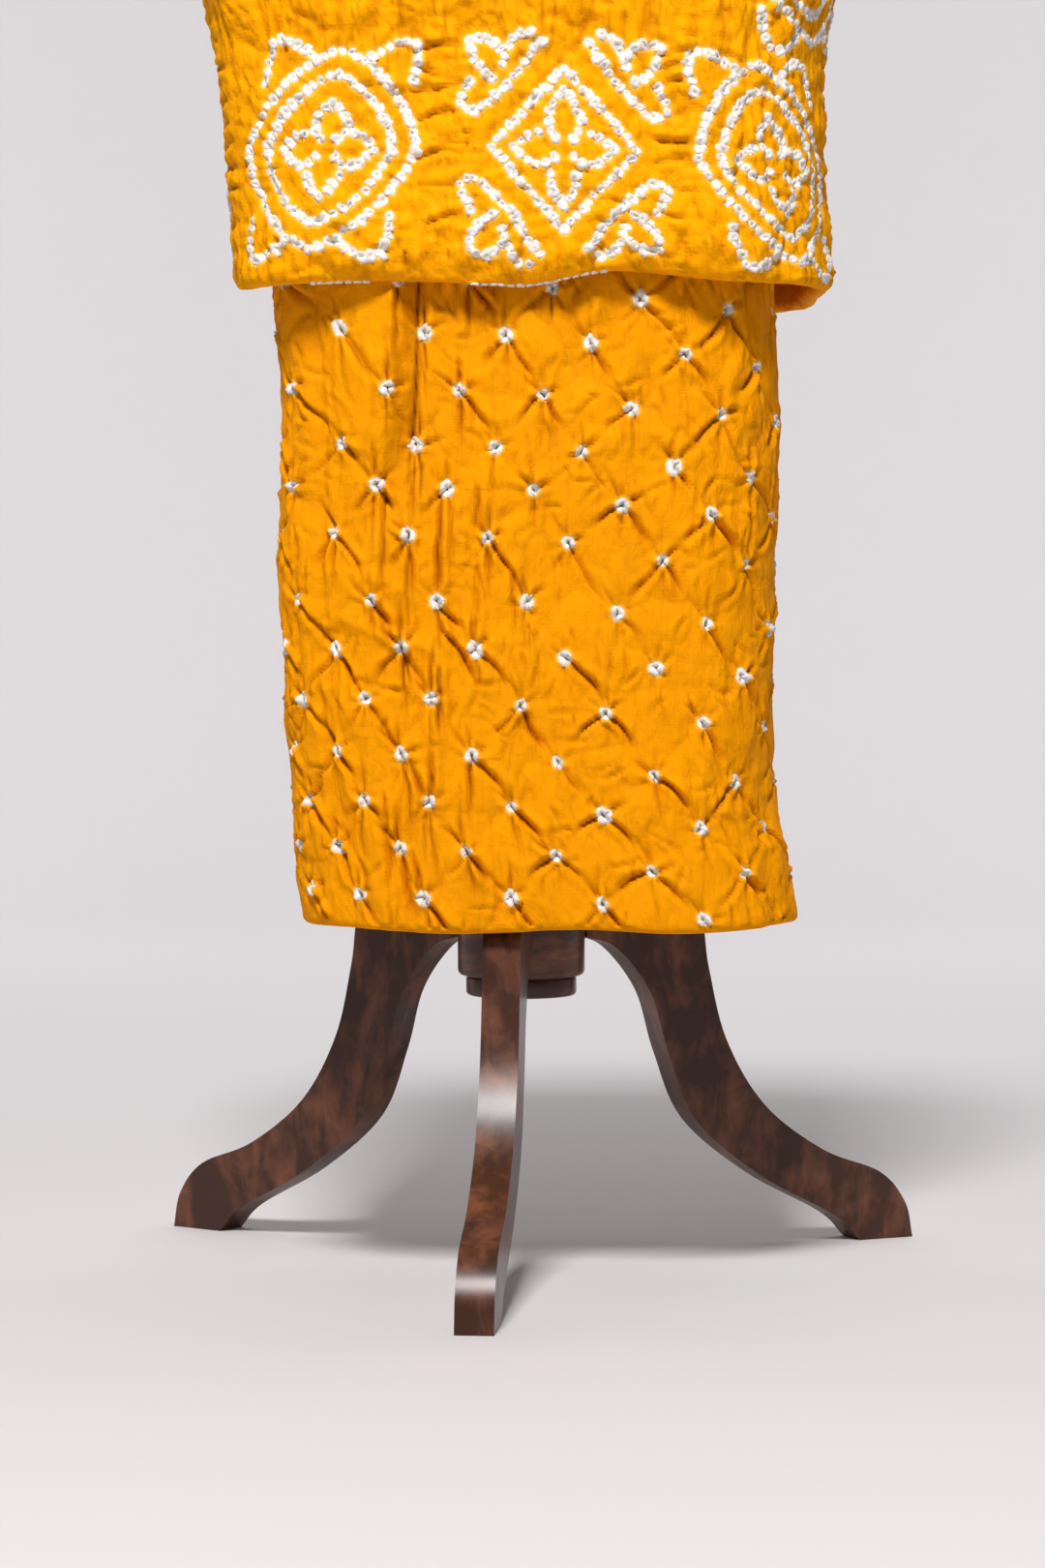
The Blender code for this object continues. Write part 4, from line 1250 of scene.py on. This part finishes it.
class BANDHANI_OT_upper_cloth(Operator):
    """Make the bordered upper tier and the strings of dots in its medallions"""

    bl_idname = "bandhani.upper_cloth"
    bl_label = "Upper tier"

    def execute(self, context):
        settings = context.scene.bandhani_cloth
        columns = spaced_columns(UPPER_LENGTH, *UPPER_GRID)
        over = FORM_TOP + 0.0012
        rows = [
            (over - 0.0010, TOP_TURN_IN + 0.0004, False),
            (over, TOP_TURN_IN, False),
            (over + 0.0004, TOP_TURN_IN - 0.003, False),
        ]
        corner = 0.0125
        rows += [(over + 0.0002, TOP_TURN_IN - 0.003 - (TOP_TURN_IN - 0.003 - corner) * step / 6, False)
                 for step in range(1, 7)]
        for step in range(1, 7):
            angle = math.pi / 2 * step / 6
            rows.append((over - corner + corner * math.cos(angle),
                         corner - corner * math.sin(angle), step > 3))
        rows += [(height, 0.0, True)
                 for height in heights_between(over - corner, UPPER_HEM + UPPER_ROLL, 0.0022)[1:]]
        rows += hem_rows(UPPER_HEM, UPPER_ROLL, UPPER_TURN_UP, TURN_UP_INSET)
        sheet = Sheet(UPPER_LENGTH, columns, rows)
        ties = upper_ties(settings)
        sheet.folds(UPPER_FOLDS)
        upper_ribs(sheet, settings)
        upper_creases(sheet, ties, settings)
        stray_creases(sheet, settings.seed + 18, 1500, UPPER_HEM + 0.005, UPPER_SHOULDER, 0.7)
        crumple(sheet, 0.028, 0.0016, settings.seed + 13, 1.2)
        # The two finer crumples' valleys get painted shade (the last number)
        crumple(sheet, 0.011, -0.0018, settings.seed + 14, 1.1, 1.0, 0.42)
        crumple(sheet, 0.0070, -0.0009, settings.seed + 16, 1.3, 1.0, 0.15)
        sheet.relief *= np.clip((FORM_TOP - sheet.height) / 0.03, 0, 1)[:, None]
        sheet.relief *= 1 - 0.4 * np.clip((np.abs(sheet.place) - 0.185) / 0.03, 0, 1)[None, :]
        draw_in(sheet)
        for place, height, radius in ties:
            sheet.tie(place, height, 0.80 * radius)
        knots_at = [(place, float(sheet.down_at(height)), radius) for place, height, radius in ties]
        hem_down = float(sheet.down_at(UPPER_HEM + UPPER_ROLL)) + 0.5 * math.pi * UPPER_ROLL
        for begin, end in HEM_STRINGS:
            knots_at += [(place, hem_down, 0.9 * settings.bead_radius)
                         for place in np.arange(begin, end, settings.bead_pitch)]
        sheet.build(UPPER_SECTIONS, UPPER_CORNERS, hem_wave(UPPER_WAVE, UPPER_LENGTH, UPPER_HEM, 0.07))
        cloth = sheet.mesh("upper_cloth_sheet")
        # 7E3C00 is the painted shade colour of the creases
        dyed = cotton_material("plain_woven_cotton_tied_in_medallions", settings.upper_dye,
                               "EE9800", "7E3C00", settings.resist, "FFD25A")
        finish_piece(cloth, dyed, "cloth_upper", "cloth_upper")
        knots = knots_mesh("upper_tied_dots", sheet, knots_at, *UPPER_KNOT, settings.seed + 15)
        undyed = tie_material("undyed_cotton_strings_of_ties", settings.resist, "C79A68")
        finish_piece(knots, undyed, "cloth_upper")
        return {"FINISHED"}


def rounded_line(points, steps):
    """A Catmull-Rom curve through the points, its end points kept."""
    knots = [Vector(point) for point in points]
    knots = [2 * knots[0] - knots[1]] + knots + [2 * knots[-1] - knots[-2]]
    line = []
    for before, start, end, after in zip(knots, knots[1:], knots[2:], knots[3:]):
        for step in range(steps):
            t = step / steps
            line.append(0.5 * (2 * start + (end - before) * t
                               + (2 * before - 5 * start + 4 * end - after) * t ** 2
                               + (3 * start - before - 3 * end + after) * t ** 3))
    line.append(knots[-2])
    return line


def outline_object(name, points):
    """A flat face on an outline, made from a circle with a corner for each point."""
    deselect()
    bpy.ops.mesh.primitive_circle_add(vertices=len(points), radius=0.1, fill_type="NGON", location=(0, 0, 0))
    made = bpy.context.active_object
    made.name = made.data.name = name
    for vertex, point in zip(made.data.vertices, points):
        vertex.co = point
    return made


class BANDHANI_OT_legs(Operator):
    """Make the three curved legs, sawn from board and rounded at the edges"""

    bl_idname = "bandhani.legs"
    bl_label = "Legs"

    def execute(self, context):
        settings = context.scene.bandhani_stand
        outline = rounded_line(LEG_OUTER_EDGE, 8) + rounded_line(LEG_INNER_EDGE, 8)
        wood = wood_material("stained_lacquered_hardwood_board", settings.wood, settings.wood_light,
                             (60.0, 60.0, 24.0))
        for name, angle in LEG_ANGLES.items():
            points = [(point.x, -LEG_THICKNESS / 2, point.y) for point in outline]
            leg = outline_object(name + "_board", points)
            bpy.ops.object.mode_set(mode="EDIT")
            bpy.ops.mesh.select_all(action="SELECT")
            bpy.ops.mesh.extrude_region_move(TRANSFORM_OT_translate={"value": (0, LEG_THICKNESS, 0)})
            bpy.ops.mesh.select_all(action="SELECT")
            bpy.ops.mesh.normals_make_consistent(inside=False)
            bpy.ops.mesh.select_all(action="DESELECT")
            bpy.ops.object.mode_set(mode="OBJECT")
            round_rims(leg, settings.edge_round)
            turn = Matrix.Rotation(math.radians(angle + LEG_TURN), 4, "Z")
            leg.data.transform(Matrix.Translation(AXIS) @ turn)
            finish_piece(leg, wood, "leg_wood", name)
        return {"FINISHED"}


def round_rims(leg, width):
    """Bevel the two sawn faces' edges."""
    bpy.context.view_layer.objects.active = leg
    bpy.ops.object.mode_set(mode="EDIT")
    mesh = bmesh.from_edit_mesh(leg.data)
    half = LEG_THICKNESS / 2 - 1e-5
    for edge in mesh.edges:
        ends = [vertex.co.y for vertex in edge.verts]
        edge.select = min(ends) > half or max(ends) < -half
    bmesh.update_edit_mesh(leg.data)
    bpy.ops.mesh.bevel(offset=width, segments=3, affect="EDGES")
    bpy.ops.object.mode_set(mode="OBJECT")
    leg.select_set(True)
    bpy.ops.object.shade_smooth_by_angle(angle=math.radians(40))
    deselect()


class BANDHANI_OT_hub(Operator):
    """Make the turned hub"""

    bl_idname = "bandhani.hub"
    bl_label = "Hub"

    def execute(self, context):
        settings = context.scene.bandhani_stand
        deselect()
        bpy.ops.mesh.primitive_circle_add(vertices=len(HUB_PROFILE), radius=0.1, location=(0, 0, 0))
        hub = bpy.context.active_object
        hub.name = hub.data.name = "hub_turned"
        for vertex, (height, radius) in zip(hub.data.vertices, HUB_PROFILE):
            vertex.co = (radius, 0.0, height)
        bpy.ops.object.mode_set(mode="EDIT")
        mesh = bmesh.from_edit_mesh(hub.data)
        closing = [edge for edge in mesh.edges if all(vertex.co.x < 1e-6 for vertex in edge.verts)]
        bmesh.ops.delete(mesh, geom=closing, context="EDGES")
        bmesh.update_edit_mesh(hub.data)
        bpy.ops.mesh.select_all(action="SELECT")
        bpy.ops.mesh.spin(steps=96, angle=TAU, center=(0, 0, 0), axis=(0, 0, 1))
        bpy.ops.mesh.select_all(action="SELECT")
        bpy.ops.mesh.remove_doubles(threshold=0.00002)
        bpy.ops.mesh.normals_make_consistent(inside=False)
        bpy.ops.object.mode_set(mode="OBJECT")
        bpy.ops.object.shade_smooth_by_angle(angle=math.radians(45))
        hub.data.transform(Matrix.Translation(AXIS))
        wood = wood_material("stained_lacquered_hardwood_turned", settings.wood, settings.wood_light,
                             (14.0, 14.0, 90.0))
        finish_piece(hub, wood, "hub_wood", "hub")
        return {"FINISHED"}


class BANDHANI_OT_form(Operator):
    """Make the plain form body that the cloth hangs on"""

    bl_idname = "bandhani.form"
    bl_label = "Form body"

    def execute(self, context):
        settings = context.scene.bandhani_stand
        deselect()
        sides = 96
        bpy.ops.mesh.primitive_circle_add(vertices=sides, radius=0.1, location=(0, 0, 0))
        form = bpy.context.active_object
        form.name = form.data.name = "form_body_shell"
        shares = np.arange(sides) / sides
        heights = [section[0] for section in FORM_SECTIONS]
        bpy.ops.object.mode_set(mode="EDIT")
        for _ in heights[1:]:
            bpy.ops.mesh.extrude_region_move(TRANSFORM_OT_translate={"value": (0, 0, 0.05)})
        bpy.ops.object.mode_set(mode="OBJECT")
        for row, (height, half_width, half_depth, centre) in enumerate(FORM_SECTIONS):
            x, y, _, _, _ = walk_round(shares, half_width, half_depth, centre, FORM_CORNERS)
            for side in range(sides):
                form.data.vertices[row * sides + side].co = (x[side] + AXIS.x, y[side] + AXIS.y, height)
        bpy.ops.object.mode_set(mode="EDIT")
        bpy.ops.mesh.select_all(action="DESELECT")
        bpy.ops.mesh.select_non_manifold()
        bpy.ops.mesh.edge_face_add()
        bpy.ops.mesh.select_all(action="SELECT")
        bpy.ops.mesh.normals_make_consistent(inside=False)
        bpy.ops.object.mode_set(mode="OBJECT")
        bpy.ops.object.shade_smooth_by_angle(angle=math.radians(50))
        finish_piece(form, jersey_material("cotton_jersey_on_moulded_form", settings.jersey),
                     "form_cover", "form_body")
        return {"FINISHED"}


class BANDHANI_OT_stage(Operator):
    """Make the pale floor and its sweep, the soft lights and the camera"""

    bl_idname = "bandhani.stage"
    bl_label = "Floor, lights and camera"

    def execute(self, context):
        settings = context.scene.bandhani_stage
        self.floor(settings)
        self.lights(context, settings)
        self.camera(context)
        return {"FINISHED"}

    def floor(self, settings):
        """A round floor that sweeps up into a wall on every side."""
        out, sweep, high, sides = 6.6, 3.0, 3.3, 72
        profile = [(0.0, 0.0), (0.5, 0.0), (2.0, 0.0), (out - sweep, 0.0)]
        for step in range(1, 13):
            angle = math.pi / 2 * step / 12
            profile.append((out - sweep + sweep * math.sin(angle), sweep - sweep * math.cos(angle)))
        profile.append((out, high))
        turn = np.arange(sides) * TAU / sides
        points = np.array([(radius * math.cos(t), radius * math.sin(t), z)
                           for radius, z in profile for t in turn])
        floor = mesh_from_arrays("studio_floor", points, tube_faces(len(profile), sides)[3])
        floor.data.materials.append(new_material("matt_painted_floor", {
            "Base Color": linear(settings.floor), "Roughness": 0.7, "Specular IOR Level": 0.2})[0])

    def lights(self, context, settings):
        """A key from above the front, soft light from overhead and on the wall, and an even surround."""
        target = Vector((AXIS.x, AXIS.y, 0.5))
        for name, place, aim, size, power in (
                ("key", (-0.35, -2.60, 3.62), target, 0.80, settings.key_power),
                ("overhead", (0.3, 1.9, 4.2), Vector((0.0, 1.0, 0.0)), 3.0, settings.overhead_power),
                ("wash_left", (-2.8, 2.6, 3.2), Vector((-0.9, 6.6, 0.6)), 2.0, settings.wash_power),
                ("wash_right", (2.8, 2.6, 3.2), Vector((0.9, 6.6, 0.6)), 2.0, settings.wash_power)):
            data = bpy.data.lights.new(name + "_light", "AREA")
            data.energy = power
            data.size = size
            lamp = bpy.data.objects.new(name + "_light", data)
            lamp.location = Vector(place)
            lamp.rotation_euler = (aim - lamp.location).to_track_quat("-Z", "Y").to_euler()
            context.collection.objects.link(lamp)
        context.scene.view_settings.view_transform = "Standard"
        world = bpy.data.worlds.new("soft_surround")
        world.use_nodes = True
        background = world.node_tree.nodes["Background"]
        background.inputs["Color"].default_value = linear("F4F4F6")
        background.inputs["Strength"].default_value = settings.sky
        context.scene.world = world

    def camera(self, context):
        """The photograph's view, from three metres in front."""
        data = bpy.data.cameras.new("studio_camera")
        data.lens = CAMERA_FOCAL_PX * SENSOR_MM / IMAGE_LONG_SIDE_PX
        data.sensor_width = SENSOR_MM
        made = bpy.data.objects.new("studio_camera", data)
        made.location = AXIS + Vector((CAMERA_SIDE, -CAMERA_DISTANCE, CAMERA_HEIGHT))
        made.rotation_euler = (math.pi / 2 - CAMERA_PITCH, 0.0, 0.0)
        context.collection.objects.link(made)
        context.scene.camera = made


class BANDHANI_PT_panel(Panel):
    """The sizes and colours, and a button for each group of pieces"""

    bl_idname = "BANDHANI_PT_panel"
    bl_label = "Bandhani cloth"
    bl_space_type = "VIEW_3D"
    bl_region_type = "UI"
    bl_category = "Bandhani"

    def draw(self, context):
        for group in SETTINGS:
            settings = getattr(context.scene, group)
            for name in settings.bl_rna.properties.keys():
                if name not in ("rna_type", "name"):
                    self.layout.prop(settings, name)
        for operator in OPERATORS:
            self.layout.operator(operator.bl_idname)


SETTINGS = {
    "bandhani_cloth": BandhaniClothSettings,
    "bandhani_stand": BandhaniStandSettings,
    "bandhani_stage": BandhaniStageSettings,
}
OPERATORS = (
    BANDHANI_OT_form,
    BANDHANI_OT_lower_cloth,
    BANDHANI_OT_upper_cloth,
    BANDHANI_OT_hub,
    BANDHANI_OT_legs,
    BANDHANI_OT_stage,
)


def register():
    for name, settings in SETTINGS.items():
        bpy.utils.register_class(settings)
        setattr(bpy.types.Scene, name, PointerProperty(type=settings))
    for each in (*OPERATORS, BANDHANI_PT_panel):
        bpy.utils.register_class(each)


def unregister():
    for each in (BANDHANI_PT_panel, *reversed(OPERATORS)):
        bpy.utils.unregister_class(each)
    for name, settings in SETTINGS.items():
        delattr(bpy.types.Scene, name)
        bpy.utils.unregister_class(settings)


def main():
    register()
    deselect()
    bpy.ops.bandhani.form()
    bpy.ops.bandhani.lower_cloth()
    bpy.ops.bandhani.upper_cloth()
    bpy.ops.bandhani.hub()
    bpy.ops.bandhani.legs()
    bpy.ops.bandhani.stage()
    bpy.context.view_layer.update()


if __name__ == "__main__":
    main()
